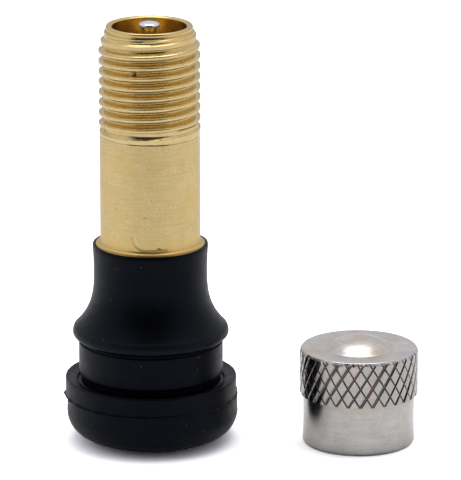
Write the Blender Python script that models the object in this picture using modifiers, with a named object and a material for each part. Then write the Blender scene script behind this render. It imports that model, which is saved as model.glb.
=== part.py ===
"""Snap-in tubeless tyre valve with its screw-in core, and its metal dust cap standing beside it.

All sizes are in metres. The valve stands on its rubber base with its axis along +Z, and the cap
stands mouth down next to it, as it does when someone has just unscrewed it. The origin is on the
floor, in the middle of the pair's footprint.
"""

import math

import bmesh
import bpy
from mathutils import Matrix, Vector

# Facets round a turned piece
TURN_STEPS = 40
CORE_STEPS = 20
PIN_STEPS = 16

# Facets along the curves of a profile
SLEEVE_STEPS = 3
CONE_STEPS = 7
SHOULDER_STEPS = 3
BASE_STEPS = 5
FLARE_STEPS = 4
RIM_STEPS = 2
DOME_STEPS = 5
PIN_HEAD_STEPS = 3

# Clearances between separate pieces
BOND_GAP = 0.00004
SEAT_GAP = 0.00005
RUN_GAP = 0.00006

# Rubber body: base, lip, rim groove, shoulder and sleeve
BASE_R = 0.00653
BASE_FOOT_R = 0.00420
BASE_ROUND = 0.00190
BASE_UNDER_DEG = 20
BASE_BORE_R = 0.00195
BASE_BORE_CHAMFER = 0.00035
FLASH_R = 0.00680
FLASH_Z = 0.00347
FLASH_T = 0.00006
FLASH_ROOT_T = 0.00012
LIP_TOP_Z = 0.00494
LIP_INNER_R = 0.00561
LIP_DIP = 0.00022
LIP_EDGE = 0.00005
TROUGH_DEPTH = 0.00044
TROUGH_INSET = 0.00020
NECK_R = 0.00550
NECK_BOTTOM_Z = 0.00528
NECK_TOP_Z = 0.00775
NECK_EDGE = 0.00004
SLOT_DEPTH = 0.00014
SLOT_H = 0.00012
SHOULDER_R = 0.00595
SHOULDER_Z = 0.00846
SHOULDER_UPPER_W = 0.00040
SHOULDER_UPPER_H = 0.00060
SHOULDER_UPPER_DEG = 65
SHOULDER_LOWER = 0.00038
SHOULDER_LOWER_DEG = -70
WAIST_R = 0.004315
WAIST_Z = 0.01344
WAIST_POWER = 3.0
SLEEVE_TOP_R = 0.00441
SLEEVE_TOP_Z = 0.01537
SLEEVE_POWER = 1.6

# Brass stem: what stands out of the rubber
STEM_R = 0.00380
STEM_OUT_L = 0.01696
RIM_R = 0.00327
RIM_ROUND = 0.00015
PILOT_R = 0.00329
MOUTH_R = 0.00286
MOUTH_CHAMFER_W = 0.00012
MOUTH_CHAMFER_H = 0.00019
FLARE_R = 0.00415
FLARE_H = 0.00030
FLARE_EDGE_W = 0.00007
FLARE_EDGE_H = 0.00006

# Outer thread, 7.7 mm by 32 turns an inch, right-handed
THREAD_R = 0.00385
THREAD_ROOT_R = 0.00340
THREAD_PITCH = 0.000794
THREAD_CREST_W = 0.00025
THREAD_ROOT_W = 0.00005
THREAD_START_DEPTH = 0.00048
THREAD_L = 0.00804
THREAD_CREST_DEPTH = 0.002321
THREAD_LEAD_SLOPE = 0.537
THREAD_RUNOUT_H = 0.00055
THREAD_SNAP = 0.00004

# Brass stem: foot inside the rubber
FOOT_R = 0.00340
FOOT_BOTTOM_Z = 0.00690
ANCHOR_R = 0.00410
ANCHOR_H = 0.00095
FLARE_T = 0.00020
FLARE_UNDER_H = 0.00065

# Bore of the stem, from the mouth down
COUNTERBORE_R = 0.00280
COUNTERBORE_L = 0.00145
CORE_THREAD_R = 0.00250
SEAT_CONE_R = 0.00235
BORE_R = 0.00185

# Core plug
PLUG_DEPTH = 0.00239
PLUG_BRIDGE_H = 0.00170
PLUG_BRIDGE_T = 0.00100
PLUG_BRIDGE_HALF_W = 0.00090
PLUG_HEAD_R = 0.00210
PLUG_THREAD_L = 0.00348
PLUG_EDGE = 0.00012
PLUG_BORE_R = 0.00145
PLUG_LIP_H = 0.00090
SWIVEL_R = 0.00178
SWIVEL_H = 0.00065

# Core barrel
BARREL_R = 0.00145
BARREL_NECK_R = 0.00154
BARREL_BORE_R = 0.00120
BARREL_L = 0.01076
COLLAR_R = 0.00188
COLLAR_H = 0.00026
WASHER_L = 0.00175
STOP_R = 0.00162
STOP_H = 0.00030
NOSE_R = 0.00100
NOSE_H = 0.00080
SEAT_LAND_H = 0.00110
SEAT_HOLE_R = 0.00076

# Core pin, with the spring round it
PIN_R = 0.000555
PIN_LOWER_R = 0.00055
PIN_PROUD = 0.00023
PIN_HEAD_R = 0.00077
PIN_HEAD_H = 0.00040
PIN_HEAD_DOME = 0.00014
PIN_TAPER_H = 0.00022
PIN_COLLAR_R = 0.00108
PIN_COLLAR_H = 0.00040
PIN_FOOT_R = 0.00085
PIN_FOOT_H = 0.00036
SPRING_R = 0.00093
SPRING_WIRE_R = 0.00012
SPRING_L = 0.00680
SPRING_TURNS = 7
SPRING_END_TURNS = 1
SPRING_POINTS_A_TURN = 8

# Plunger on the pin's lower end
CUP_R = 0.00142
CUP_WALL = 0.00026
CUP_FLOOR_T = 0.00040
CUP_LIP_DROP = 0.00044
PLUNGER_SEAL_H = 0.00175

# Dust cap, and where it stands from the valve's axis
CAP_OFFSET_X = 0.01588
CAP_OFFSET_Y = -0.00100
CAP_R = 0.00451
CAP_TOP_Z = 0.00742
CAP_CHAMFER_W = 0.00012
CAP_CHAMFER_H = 0.00020
CAP_SKIRT_R = 0.00427
CAP_SKIRT_WAIST = 0.00003
CAP_SKIRT_EDGE = 0.00010
CAP_DOME_R = 0.00256
CAP_DOME_H = 0.00085
CAP_DOME_MOAT_W = 0.00016
CAP_DOME_MOAT_T = 0.00005
CAP_BORE_R = 0.00392
CAP_MOUTH_CHAMFER = 0.00014
CAP_ROOF_T = 0.00150
GASKET_T = 0.00090
GASKET_BORE_R = 0.00180

# Diamond knurl round the cap
KNURL_COUNT = 30
KNURL_BOTTOM_Z = 0.00388
KNURL_DIAMOND_H = 0.00152
KNURL_DEPTH = 0.00012
KNURL_GROOVE_SHARE = 0.20
KNURL_STEP_H = 0.00007

# Places worked out from the sizes above
VALVE_X = -(CAP_OFFSET_X + CAP_R - FLASH_R) / 2
CAP_X = VALVE_X + CAP_OFFSET_X
STEM_TOP_Z = SLEEVE_TOP_Z + STEM_OUT_L
THREAD_TOP_Z = STEM_TOP_Z - THREAD_START_DEPTH
THREAD_BOTTOM_Z = THREAD_TOP_Z - THREAD_L
PLUG_R = CORE_THREAD_R - RUN_GAP
PLUG_TOP_Z = STEM_TOP_Z - PLUG_DEPTH
PLUG_SHOULDER_Z = PLUG_TOP_Z - PLUG_BRIDGE_H
PLUG_BOTTOM_Z = PLUG_SHOULDER_Z - PLUG_THREAD_L
PLUG_LIP_Z = PLUG_BOTTOM_Z + PLUG_LIP_H
SWIVEL_BOTTOM_Z = PLUG_LIP_Z + RUN_GAP
SWIVEL_TOP_Z = SWIVEL_BOTTOM_Z + SWIVEL_H
COLLAR_TOP_Z = PLUG_BOTTOM_Z - RUN_GAP
COLLAR_BOTTOM_Z = COLLAR_TOP_Z - COLLAR_H
WASHER_BOTTOM_Z = COLLAR_BOTTOM_Z - WASHER_L
BARREL_BOTTOM_Z = COLLAR_TOP_Z - BARREL_L
SPRING_SEAT_Z = BARREL_BOTTOM_Z + SEAT_LAND_H
PIN_COLLAR_Z = SPRING_SEAT_Z + SPRING_L
PIN_TOP_Z = STEM_TOP_Z + PIN_PROUD
SEAL_TOP_Z = BARREL_BOTTOM_Z - SEAT_GAP
SEAL_BOTTOM_Z = SEAL_TOP_Z - PLUNGER_SEAL_H
CUP_FLOOR_Z = SEAL_BOTTOM_Z - SEAT_GAP
CUP_BOTTOM_Z = CUP_FLOOR_Z - CUP_FLOOR_T
CAP_ROOF_Z = CAP_TOP_Z - CAP_ROOF_T

SHARP_ANGLE = math.radians(32)
WELD = 1e-7
RING_TOLERANCE = 2e-6
EMPTY_SIZE = 0.005


def clear_scene():
    for obj in list(bpy.data.objects):
        bpy.data.objects.remove(obj, do_unlink=True)


def collection(name, hidden=False):
    found = bpy.data.collections.new(name)
    bpy.context.scene.collection.children.link(found)
    found.hide_render = hidden
    return found


def material(name, color, roughness, metallic=0.0):
    made = bpy.data.materials.new(name)
    made.use_nodes = True
    shader = made.node_tree.nodes["Principled BSDF"]
    shader.inputs["Base Color"].default_value = (*color, 1.0)
    shader.inputs["Roughness"].default_value = roughness
    shader.inputs["Metallic"].default_value = metallic
    made.diffuse_color = (*color, 1.0)
    return made


def arc(center_r, center_z, radius_r, radius_z, start_deg, end_deg, steps):
    """Points (r, z) along an elliptic arc, both ends included; 0 degrees points outwards."""
    points = []
    for i in range(steps + 1):
        angle = math.radians(start_deg + (end_deg - start_deg) * i / steps)
        points.append((center_r + radius_r * math.cos(angle), center_z + radius_z * math.sin(angle)))
    return points


def new_object(name, data, parent, group, look):
    obj = bpy.data.objects.new(name, data)
    obj.parent = parent
    obj.data.materials.append(look)
    group.objects.link(obj)
    return obj


def profile_mesh(name, points, closed):
    """A polyline of (r, z) points in the XZ plane, which a Screw modifier turns round Z."""
    mesh = bpy.data.meshes.new(name)
    edges = [(i, i + 1) for i in range(len(points) - 1)]
    if closed:
        edges.append((len(points) - 1, 0))
    mesh.from_pydata([(r, 0.0, z) for r, z in points], edges, [])
    return mesh


def add_screw(obj, steps):
    screw = obj.modifiers.new("Turn", "SCREW")
    screw.axis = "Z"
    screw.angle = math.tau
    screw.screw_offset = 0.0
    screw.steps = steps
    screw.render_steps = steps
    screw.use_merge_vertices = True
    screw.merge_threshold = WELD
    screw.use_smooth_shade = True
    return screw


def apply_modifiers(obj):
    """Swaps the object's mesh for the one that its modifiers make."""
    bpy.context.view_layer.update()
    evaluated = obj.evaluated_get(bpy.context.evaluated_depsgraph_get())
    made = bpy.data.meshes.new_from_object(evaluated)
    made.name = obj.name
    if obj.type == "MESH":
        obj.modifiers.clear()
        obj.data = made
    return made


def shade(mesh):
    mesh.shade_smooth()
    mesh.set_sharp_from_angle(angle=SHARP_ANGLE)


def turned(name, points, steps, parent, group, look, closed=True):
    """A turned solid. The profile runs down its outer side, top to bottom."""
    obj = new_object(name, profile_mesh(name, points, closed), parent, group, look)
    add_screw(obj, steps)
    apply_modifiers(obj)
    shade(obj.data)
    return obj


def weld_and_face_out(bm):
    bmesh.ops.remove_doubles(bm, verts=bm.verts, dist=WELD)
    bmesh.ops.recalc_face_normals(bm, faces=bm.faces)


def open_ring(bm, height):
    """The vertices of the open edge loop at this height, in order of angle."""
    found = {
        vert
        for edge in bm.edges
        if edge.is_boundary
        for vert in edge.verts
        if abs(vert.co.z - height) < RING_TOLERANCE
    }
    return sorted(found, key=lambda vert: math.atan2(vert.co.y, vert.co.x) % math.tau)


def zip_rings(bm, first, second):
    """Joins two rings round Z that may have unlike counts, with triangles in order of angle."""

    def angle(ring, i):
        vert = ring[i % len(ring)]
        turns = i // len(ring)
        return math.atan2(vert.co.y, vert.co.x) % math.tau + turns * math.tau

    a, b = 0, 0
    while a < len(first) or b < len(second):
        step_first = b >= len(second) or (a < len(first) and angle(first, a + 1) <= angle(second, b + 1))
        corners = [first[a % len(first)], second[b % len(second)]]
        if step_first:
            a += 1
            corners.append(first[a % len(first)])
        else:
            b += 1
            corners.append(second[b % len(second)])
        if len(set(corners)) == 3 and not bm.faces.get(corners):
            bm.faces.new(corners)


def drop_mesh(bm, obj):
    """Writes the finished surface into the object."""
    weld_and_face_out(bm)
    bm.to_mesh(obj.data)
    bm.free()
    shade(obj.data)


def rubber_profile():
    """Outside from the sleeve's top down to the foot, then up the bore and round the brass."""
    shoulder = shoulder_curve()
    shoulder_r, shoulder_z = shoulder[0]
    points = [(FLARE_R + BOND_GAP, SLEEVE_TOP_Z), (SLEEVE_TOP_R, SLEEVE_TOP_Z)]
    for i in range(1, SLEEVE_STEPS):
        rise = 1 - i / SLEEVE_STEPS
        radius = WAIST_R + (SLEEVE_TOP_R - WAIST_R) * rise**SLEEVE_POWER
        points.append((radius, WAIST_Z + (SLEEVE_TOP_Z - WAIST_Z) * rise))
    points.append((WAIST_R, WAIST_Z))
    for i in range(2, CONE_STEPS):
        fall = i / CONE_STEPS
        radius = WAIST_R + (shoulder_r - WAIST_R) * fall**WAIST_POWER
        points.append((radius, WAIST_Z + (shoulder_z - WAIST_Z) * fall))
    points += shoulder
    slot_r = NECK_R - SLOT_DEPTH
    points += [(slot_r, NECK_TOP_Z + SLOT_H), (slot_r, NECK_TOP_Z)]
    points += [(NECK_R, NECK_TOP_Z - NECK_EDGE), (NECK_R, NECK_BOTTOM_Z)]
    trough_r = NECK_R - TROUGH_INSET
    lip_inner_z = LIP_TOP_Z - LIP_DIP
    trough_z = LIP_TOP_Z - TROUGH_DEPTH
    points += [(trough_r, NECK_BOTTOM_Z - SLOT_H), (trough_r, trough_z), (LIP_INNER_R, trough_z)]
    points += [(LIP_INNER_R, lip_inner_z), (BASE_R - LIP_EDGE, LIP_TOP_Z), (BASE_R, LIP_TOP_Z - LIP_EDGE)]
    points += [(BASE_R, FLASH_Z + FLASH_ROOT_T / 2), (FLASH_R, FLASH_Z + FLASH_T / 2)]
    points += [(FLASH_R, FLASH_Z - FLASH_T / 2), (BASE_R, FLASH_Z - FLASH_ROOT_T / 2)]
    points += base_curve()
    points += [(BASE_BORE_R + BASE_BORE_CHAMFER, 0.0), (BASE_BORE_R, BASE_BORE_CHAMFER)]
    points += brass_pocket()
    return points


def shoulder_curve():
    """A tall soft round above the widest place and a tighter one below it."""
    upper = arc(
        SHOULDER_R - SHOULDER_UPPER_W,
        SHOULDER_Z,
        SHOULDER_UPPER_W,
        SHOULDER_UPPER_H,
        SHOULDER_UPPER_DEG,
        0,
        SHOULDER_STEPS,
    )
    lower = arc(
        SHOULDER_R - SHOULDER_LOWER,
        SHOULDER_Z,
        SHOULDER_LOWER,
        SHOULDER_LOWER,
        0,
        SHOULDER_LOWER_DEG,
        SHOULDER_STEPS,
    )
    return upper + lower[1:]


def base_curve():
    """The base's wall rounds over into a shallow cone, which ends at the flat foot."""
    slope = math.radians(BASE_UNDER_DEG)
    round_r = BASE_R - BASE_ROUND
    round_z = (round_r - BASE_FOOT_R) * math.tan(slope) + BASE_ROUND / math.cos(slope)
    points = arc(round_r, round_z, BASE_ROUND, BASE_ROUND, 0, BASE_UNDER_DEG - 90, BASE_STEPS)
    return points + [(BASE_FOOT_R, 0.0)]


def brass_pocket():
    """The hollow in the rubber that the brass foot fills, from its floor up to the sleeve's top."""
    floor_z = FOOT_BOTTOM_Z - BOND_GAP
    anchor_top = FOOT_BOTTOM_Z + ANCHOR_H
    cone_h = ANCHOR_R - FOOT_R
    flare_bottom = SLEEVE_TOP_Z - FLARE_T
    return [
        (BASE_BORE_R, floor_z),
        (ANCHOR_R + BOND_GAP, floor_z),
        (ANCHOR_R + BOND_GAP, anchor_top + BOND_GAP),
        (FOOT_R + BOND_GAP, anchor_top + cone_h + BOND_GAP),
        (FOOT_R + BOND_GAP, flare_bottom - FLARE_UNDER_H - BOND_GAP),
        (FLARE_R + BOND_GAP, flare_bottom - BOND_GAP),
    ]


def stem_foot_profile():
    """Plain stem, flare over the rubber, and the foot inside it, from the thread down and up the bore."""
    flare_top = SLEEVE_TOP_Z + FLARE_EDGE_H
    flare_w = FLARE_R - STEM_R
    points = [(STEM_R, THREAD_BOTTOM_Z)]
    points += arc(FLARE_R, flare_top + FLARE_H, flare_w, FLARE_H, 180, 270, FLARE_STEPS)
    points[-1] = (FLARE_R - FLARE_EDGE_W, flare_top)
    points += [(FLARE_R, flare_top - FLARE_EDGE_H), (FLARE_R, SLEEVE_TOP_Z - FLARE_T)]
    points += [(FOOT_R, SLEEVE_TOP_Z - FLARE_T - FLARE_UNDER_H)]
    points += [(FOOT_R, FOOT_BOTTOM_Z + ANCHOR_H + ANCHOR_R - FOOT_R)]
    points += [(ANCHOR_R, FOOT_BOTTOM_Z + ANCHOR_H), (ANCHOR_R, FOOT_BOTTOM_Z)]
    points += [(BORE_R, FOOT_BOTTOM_Z), (BORE_R, WASHER_BOTTOM_Z)]
    thread_foot_z = COLLAR_BOTTOM_Z + CORE_THREAD_R - SEAT_CONE_R
    points += [(SEAT_CONE_R, COLLAR_BOTTOM_Z), (CORE_THREAD_R, thread_foot_z)]
    step_z = STEM_TOP_Z - COUNTERBORE_L
    points += [(CORE_THREAD_R, step_z - (COUNTERBORE_R - CORE_THREAD_R)), (COUNTERBORE_R, step_z)]
    mouth_z = STEM_TOP_Z - MOUTH_CHAMFER_H
    points += [(COUNTERBORE_R, mouth_z - (MOUTH_R - COUNTERBORE_R)), (MOUTH_R, mouth_z)]
    points += [(MOUTH_R + MOUTH_CHAMFER_W, STEM_TOP_Z)]
    points += arc(RIM_R - RIM_ROUND, STEM_TOP_Z - RIM_ROUND, RIM_ROUND, RIM_ROUND, 90, 0, RIM_STEPS)
    points += [(PILOT_R, THREAD_TOP_Z)]
    return points


def thread_radius(on_crest, z):
    """Crests grow out of the pilot ring at the top and sink into the plain stem at the bottom."""
    above_end = z - THREAD_BOTTOM_Z
    ceiling = PILOT_R + (THREAD_TOP_Z - z) * THREAD_LEAD_SLOPE
    if on_crest:
        faded = STEM_R + (THREAD_R - STEM_R) * min(1.0, above_end / THREAD_RUNOUT_H)
        return min(faded, ceiling)
    rising = STEM_R - (STEM_R - THREAD_ROOT_R) * min(1.0, above_end / THREAD_RUNOUT_H)
    return min(rising, ceiling)


def add_outer_thread(bm, steps):
    """A helical surface of crests, flanks and roots that closes onto plain rings at both ends."""
    flank_w = (THREAD_PITCH - THREAD_CREST_W - THREAD_ROOT_W) / 2
    rows = (
        (-THREAD_CREST_W / 2, True),
        (THREAD_CREST_W / 2, True),
        (THREAD_CREST_W / 2 + flank_w, False),
        (THREAD_CREST_W / 2 + flank_w + THREAD_ROOT_W, False),
    )
    crest_z = STEM_TOP_Z - THREAD_CREST_DEPTH
    first_turn = math.floor((THREAD_BOTTOM_Z - crest_z) / THREAD_PITCH) - 2
    turns = math.ceil(THREAD_L / THREAD_PITCH) + 4
    made = {}

    def vert(step, row):
        if step == steps:
            step, row = 0, row + len(rows)
        turn, kind = divmod(row, len(rows))
        shift, on_crest = rows[kind]
        z = crest_z + (first_turn + turn + step / steps) * THREAD_PITCH + shift
        key = (step, row)
        if z > THREAD_TOP_Z - THREAD_SNAP:
            key, z, radius = (step, "top"), THREAD_TOP_Z, PILOT_R
        elif z < THREAD_BOTTOM_Z + THREAD_SNAP:
            key, z, radius = (step, "bottom"), THREAD_BOTTOM_Z, STEM_R
        else:
            radius = thread_radius(on_crest, z)
        if key not in made:
            angle = math.tau * step / steps
            made[key] = bm.verts.new((radius * math.cos(angle), radius * math.sin(angle), z))
        return made[key]

    for step in range(steps):
        for row in range(turns * len(rows)):
            corners = [vert(step, row), vert(step + 1, row), vert(step + 1, row + 1), vert(step, row + 1)]
            distinct = [v for i, v in enumerate(corners) if v is not corners[i - 1]]
            if len(set(distinct)) >= 3:
                bm.faces.new(distinct)


def brass_stem(parent, group, look):
    """The plain surfaces are turned from an open profile, and the thread is sewn into the gap."""
    stem = turned("brass_stem", stem_foot_profile(), TURN_STEPS, parent, group, look, closed=False)
    bm = bmesh.new()
    bm.from_mesh(stem.data)
    add_outer_thread(bm, TURN_STEPS)
    bmesh.ops.triangulate(bm, faces=[face for face in bm.faces if len(face.verts) > 3])
    drop_mesh(bm, stem)
    return stem


def plug_profile():
    lip_r = BARREL_NECK_R + RUN_GAP
    pocket_r = SWIVEL_R + RUN_GAP
    pin_hole_r = PIN_R + RUN_GAP
    pocket_top = SWIVEL_TOP_Z + RUN_GAP
    return [
        (pin_hole_r, PLUG_TOP_Z),
        (PLUG_HEAD_R - PLUG_EDGE, PLUG_TOP_Z),
        (PLUG_HEAD_R, PLUG_TOP_Z - PLUG_EDGE),
        (PLUG_HEAD_R, PLUG_SHOULDER_Z),
        (PLUG_R - PLUG_EDGE, PLUG_SHOULDER_Z),
        (PLUG_R, PLUG_SHOULDER_Z - PLUG_EDGE),
        (PLUG_R, PLUG_BOTTOM_Z + PLUG_EDGE),
        (PLUG_R - PLUG_EDGE, PLUG_BOTTOM_Z),
        (lip_r, PLUG_BOTTOM_Z),
        (lip_r, PLUG_LIP_Z),
        (pocket_r, PLUG_LIP_Z),
        (pocket_r, pocket_top),
        (PLUG_BORE_R, pocket_top + pocket_r - PLUG_BORE_R),
        (PLUG_BORE_R, PLUG_TOP_Z - PLUG_BRIDGE_T),
        (pin_hole_r, PLUG_TOP_Z - PLUG_BRIDGE_T),
    ]


def core_plug(parent, group, cutters, look):
    """Turned plug whose head is milled flat on two sides, which leaves a bridge over two air windows."""
    plug = turned("core_plug", plug_profile(), CORE_STEPS, parent, group, look)
    bpy.ops.mesh.primitive_cube_add(size=1.0)
    cutter = bpy.context.object
    cutter.name = "plug_flats_cutter"
    for holder in list(cutter.users_collection):
        holder.objects.unlink(cutter)
    cutters.objects.link(cutter)
    cutter.parent = parent
    # Scaled and placed in the mesh itself, so that the mirror works about the valve's axis
    depth = 2 * PLUG_R
    height = 2 * PLUG_BRIDGE_H
    middle = Vector((0.0, PLUG_BRIDGE_HALF_W + depth / 2, PLUG_SHOULDER_Z + height / 2))
    cutter.data.transform(Matrix.Translation(middle) @ Matrix.Diagonal((2 * depth, depth, height, 1.0)))
    mirror = cutter.modifiers.new("Both sides", "MIRROR")
    mirror.use_axis = (False, True, False)
    mirror.merge_threshold = WELD
    cutter.hide_render = True
    cutter.display_type = "WIRE"
    cut = plug.modifiers.new("Flats", "BOOLEAN")
    cut.operation = "DIFFERENCE"
    cut.solver = "EXACT"
    cut.object = cutter
    apply_modifiers(plug)
    shade(plug.data)
    return plug


def barrel_profile():
    washer_r = BARREL_R - BOND_GAP
    stop_top = WASHER_BOTTOM_Z
    return [
        (BARREL_BORE_R, SWIVEL_TOP_Z),
        (SWIVEL_R, SWIVEL_TOP_Z),
        (SWIVEL_R, SWIVEL_BOTTOM_Z),
        (BARREL_NECK_R, SWIVEL_BOTTOM_Z),
        (BARREL_NECK_R, COLLAR_TOP_Z),
        (COLLAR_R, COLLAR_TOP_Z),
        (COLLAR_R, COLLAR_BOTTOM_Z),
        (washer_r, COLLAR_BOTTOM_Z),
        (washer_r, stop_top),
        (STOP_R, stop_top),
        (STOP_R, stop_top - STOP_H),
        (BARREL_R, stop_top - STOP_H - (STOP_R - BARREL_R)),
        (BARREL_R, BARREL_BOTTOM_Z + NOSE_H),
        (NOSE_R, BARREL_BOTTOM_Z),
        (SEAT_HOLE_R, BARREL_BOTTOM_Z),
        (SEAT_HOLE_R, SPRING_SEAT_Z),
        (BARREL_BORE_R, SPRING_SEAT_Z),
    ]


def washer_profile():
    """Tapered to lie along the stem's seat cone, between the barrel's collar and its stop."""
    inner_r = BARREL_R
    top_z = COLLAR_BOTTOM_Z - SEAT_GAP
    bottom_z = WASHER_BOTTOM_Z + SEAT_GAP
    slope = (SEAT_CONE_R - BORE_R) / (COLLAR_BOTTOM_Z - WASHER_BOTTOM_Z)

    def cone_r(z):
        return BORE_R + (z - WASHER_BOTTOM_Z) * slope - SEAT_GAP

    return [(inner_r, top_z), (cone_r(top_z), top_z), (cone_r(bottom_z), bottom_z), (inner_r, bottom_z)]


def pin_profile():
    head_bottom = PIN_TOP_Z - PIN_HEAD_H
    dome_base = PIN_TOP_Z - PIN_HEAD_DOME
    points = arc(0.0, dome_base, PIN_HEAD_R, PIN_HEAD_DOME, 90, 0, PIN_HEAD_STEPS)
    points[0] = (0.0, PIN_TOP_Z)
    points += [(PIN_HEAD_R, head_bottom), (PIN_R, head_bottom - PIN_TAPER_H)]
    points += [(PIN_R, PIN_COLLAR_Z + PIN_COLLAR_H), (PIN_COLLAR_R, PIN_COLLAR_Z + PIN_COLLAR_H)]
    points += [(PIN_COLLAR_R, PIN_COLLAR_Z), (PIN_LOWER_R, PIN_COLLAR_Z)]
    foot_top = CUP_BOTTOM_Z - SEAT_GAP
    points += [(PIN_LOWER_R, foot_top), (PIN_FOOT_R, foot_top)]
    points += [(PIN_FOOT_R, foot_top - PIN_FOOT_H), (0.0, foot_top - PIN_FOOT_H)]
    return points


def cup_profile():
    hole_r = PIN_LOWER_R + BOND_GAP
    wall_top = SEAL_TOP_Z - CUP_LIP_DROP
    return [
        (CUP_R - CUP_WALL, wall_top),
        (CUP_R, wall_top),
        (CUP_R, CUP_BOTTOM_Z + CUP_WALL / 2),
        (CUP_R - CUP_WALL / 2, CUP_BOTTOM_Z),
        (hole_r, CUP_BOTTOM_Z),
        (hole_r, CUP_FLOOR_Z),
        (CUP_R - CUP_WALL, CUP_FLOOR_Z),
    ]


def seal_profile():
    inner_r = PIN_LOWER_R + BOND_GAP
    outer_r = CUP_R - CUP_WALL - BOND_GAP
    return [
        (inner_r, SEAL_TOP_Z),
        (outer_r, SEAL_TOP_Z),
        (outer_r, SEAL_BOTTOM_Z),
        (inner_r, SEAL_BOTTOM_Z),
    ]


def core_spring(parent, group, look):
    """Coil between the barrel's inner shoulder and the pin's collar, with a closed turn at each end."""
    bottom = SPRING_SEAT_Z + SEAT_GAP + SPRING_WIRE_R
    top = PIN_COLLAR_Z - SEAT_GAP - SPRING_WIRE_R
    closed_rise = SPRING_END_TURNS * 2 * (SPRING_WIRE_R + SEAT_GAP)
    open_turns = SPRING_TURNS - 2 * SPRING_END_TURNS
    count = SPRING_TURNS * SPRING_POINTS_A_TURN

    def height(turns):
        if turns < SPRING_END_TURNS:
            return bottom + closed_rise * turns / SPRING_END_TURNS
        if turns > SPRING_TURNS - SPRING_END_TURNS:
            return top - closed_rise * (SPRING_TURNS - turns) / SPRING_END_TURNS
        share = (turns - SPRING_END_TURNS) / open_turns
        return bottom + closed_rise + (top - bottom - 2 * closed_rise) * share

    curve = bpy.data.curves.new("core_spring", "CURVE")
    curve.dimensions = "3D"
    curve.bevel_depth = SPRING_WIRE_R
    curve.bevel_resolution = 2
    curve.use_fill_caps = True
    spline = curve.splines.new("POLY")
    spline.points.add(count)
    for i, point in enumerate(spline.points):
        turns = i / SPRING_POINTS_A_TURN
        angle = math.tau * turns
        point.co = (SPRING_R * math.cos(angle), SPRING_R * math.sin(angle), height(turns), 1.0)
    return new_object("core_spring", curve, parent, group, look)


def cap_upper_profile():
    """A dome cut from a ball, a shallow moat and the flat top, out to the chamfer's inner edge."""
    height = CAP_DOME_H + CAP_DOME_MOAT_T
    ball_r = (CAP_DOME_R**2 + height**2) / (2 * height)
    edge_deg = math.degrees(math.acos(CAP_DOME_R / ball_r))
    dome = arc(0.0, CAP_TOP_Z + CAP_DOME_H - ball_r, ball_r, ball_r, 90, edge_deg, DOME_STEPS)
    dome[0] = (0.0, CAP_TOP_Z + CAP_DOME_H)
    return dome + [
        (CAP_DOME_R + CAP_DOME_MOAT_W, CAP_TOP_Z),
        (CAP_R - CAP_CHAMFER_W, CAP_TOP_Z),
    ]


def cap_lower_profile():
    """Skirt from below the knurl to the mouth, then up the bore to the roof's middle."""
    skirt_h = KNURL_BOTTOM_Z - KNURL_STEP_H
    return [
        (CAP_SKIRT_R, skirt_h),
        (CAP_SKIRT_R - CAP_SKIRT_WAIST, skirt_h / 2),
        (CAP_SKIRT_R, CAP_SKIRT_EDGE),
        (CAP_SKIRT_R - CAP_SKIRT_EDGE, 0.0),
        (CAP_BORE_R + CAP_MOUTH_CHAMFER, 0.0),
        (CAP_BORE_R, CAP_MOUTH_CHAMFER),
        (CAP_BORE_R, CAP_ROOF_Z),
        (0.0, CAP_ROOF_Z),
    ]


def add_knurl(bm, bottom_z, top_z):
    """Flat-topped diamonds between two sets of crossing grooves, cut off level at both edges."""
    half_h = KNURL_DIAMOND_H / 2
    half_angle = math.pi / KNURL_COUNT
    root_r = CAP_R - KNURL_DEPTH
    flat = 1.0 - KNURL_GROOVE_SHARE
    compass = ((1, 0), (0, 1), (-1, 0), (0, -1))

    def vert(column, row, radius):
        angle = column * half_angle
        return bm.verts.new((radius * math.cos(angle), radius * math.sin(angle), bottom_z + row * half_h))

    for row in range(math.ceil((top_z - bottom_z) / half_h) + 1):
        for column in range(row % 2, 2 * KNURL_COUNT, 2):
            groove = [vert(column + x, row + y, root_r) for x, y in compass]
            land = [vert(column + flat * x, row + flat * y, CAP_R) for x, y in compass]
            bm.faces.new((land[1], land[2], land[3]))
            bm.faces.new((land[3], land[0], land[1]))
            for i in range(4):
                j = (i + 1) % 4
                bm.faces.new((groove[i], groove[j], land[j], land[i]))
    bmesh.ops.remove_doubles(bm, verts=bm.verts, dist=WELD)
    for height, side in ((bottom_z, -1.0), (top_z, 1.0)):
        bmesh.ops.bisect_plane(
            bm,
            geom=bm.verts[:] + bm.edges[:] + bm.faces[:],
            dist=WELD,
            plane_co=(0.0, 0.0, height),
            plane_no=(0.0, 0.0, side),
            clear_outer=True,
        )


def cap_shell(parent, group, look):
    """Top and skirt are turned, and the knurled band is zipped in between them."""
    knurl_top_z = CAP_TOP_Z - CAP_CHAMFER_H
    top = turned("cap_top", cap_upper_profile(), KNURL_COUNT, parent, group, look, closed=False)
    cap = turned("cap_shell", cap_lower_profile(), KNURL_COUNT, parent, group, look, closed=False)
    shell = bmesh.new()
    add_knurl(shell, KNURL_BOTTOM_Z, knurl_top_z)
    shell.from_mesh(top.data)
    shell.from_mesh(cap.data)
    bpy.data.objects.remove(top, do_unlink=True)
    zip_rings(shell, open_ring(shell, knurl_top_z), open_ring(shell, CAP_TOP_Z))
    zip_rings(shell, open_ring(shell, KNURL_BOTTOM_Z), open_ring(shell, KNURL_BOTTOM_Z - KNURL_STEP_H))
    drop_mesh(shell, cap)
    return cap


def gasket_profile():
    outer_r = CAP_BORE_R - RUN_GAP
    top_z = CAP_ROOF_Z - SEAT_GAP
    return [
        (GASKET_BORE_R, top_z),
        (outer_r, top_z),
        (outer_r, top_z - GASKET_T),
        (GASKET_BORE_R, top_z - GASKET_T),
    ]


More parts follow.
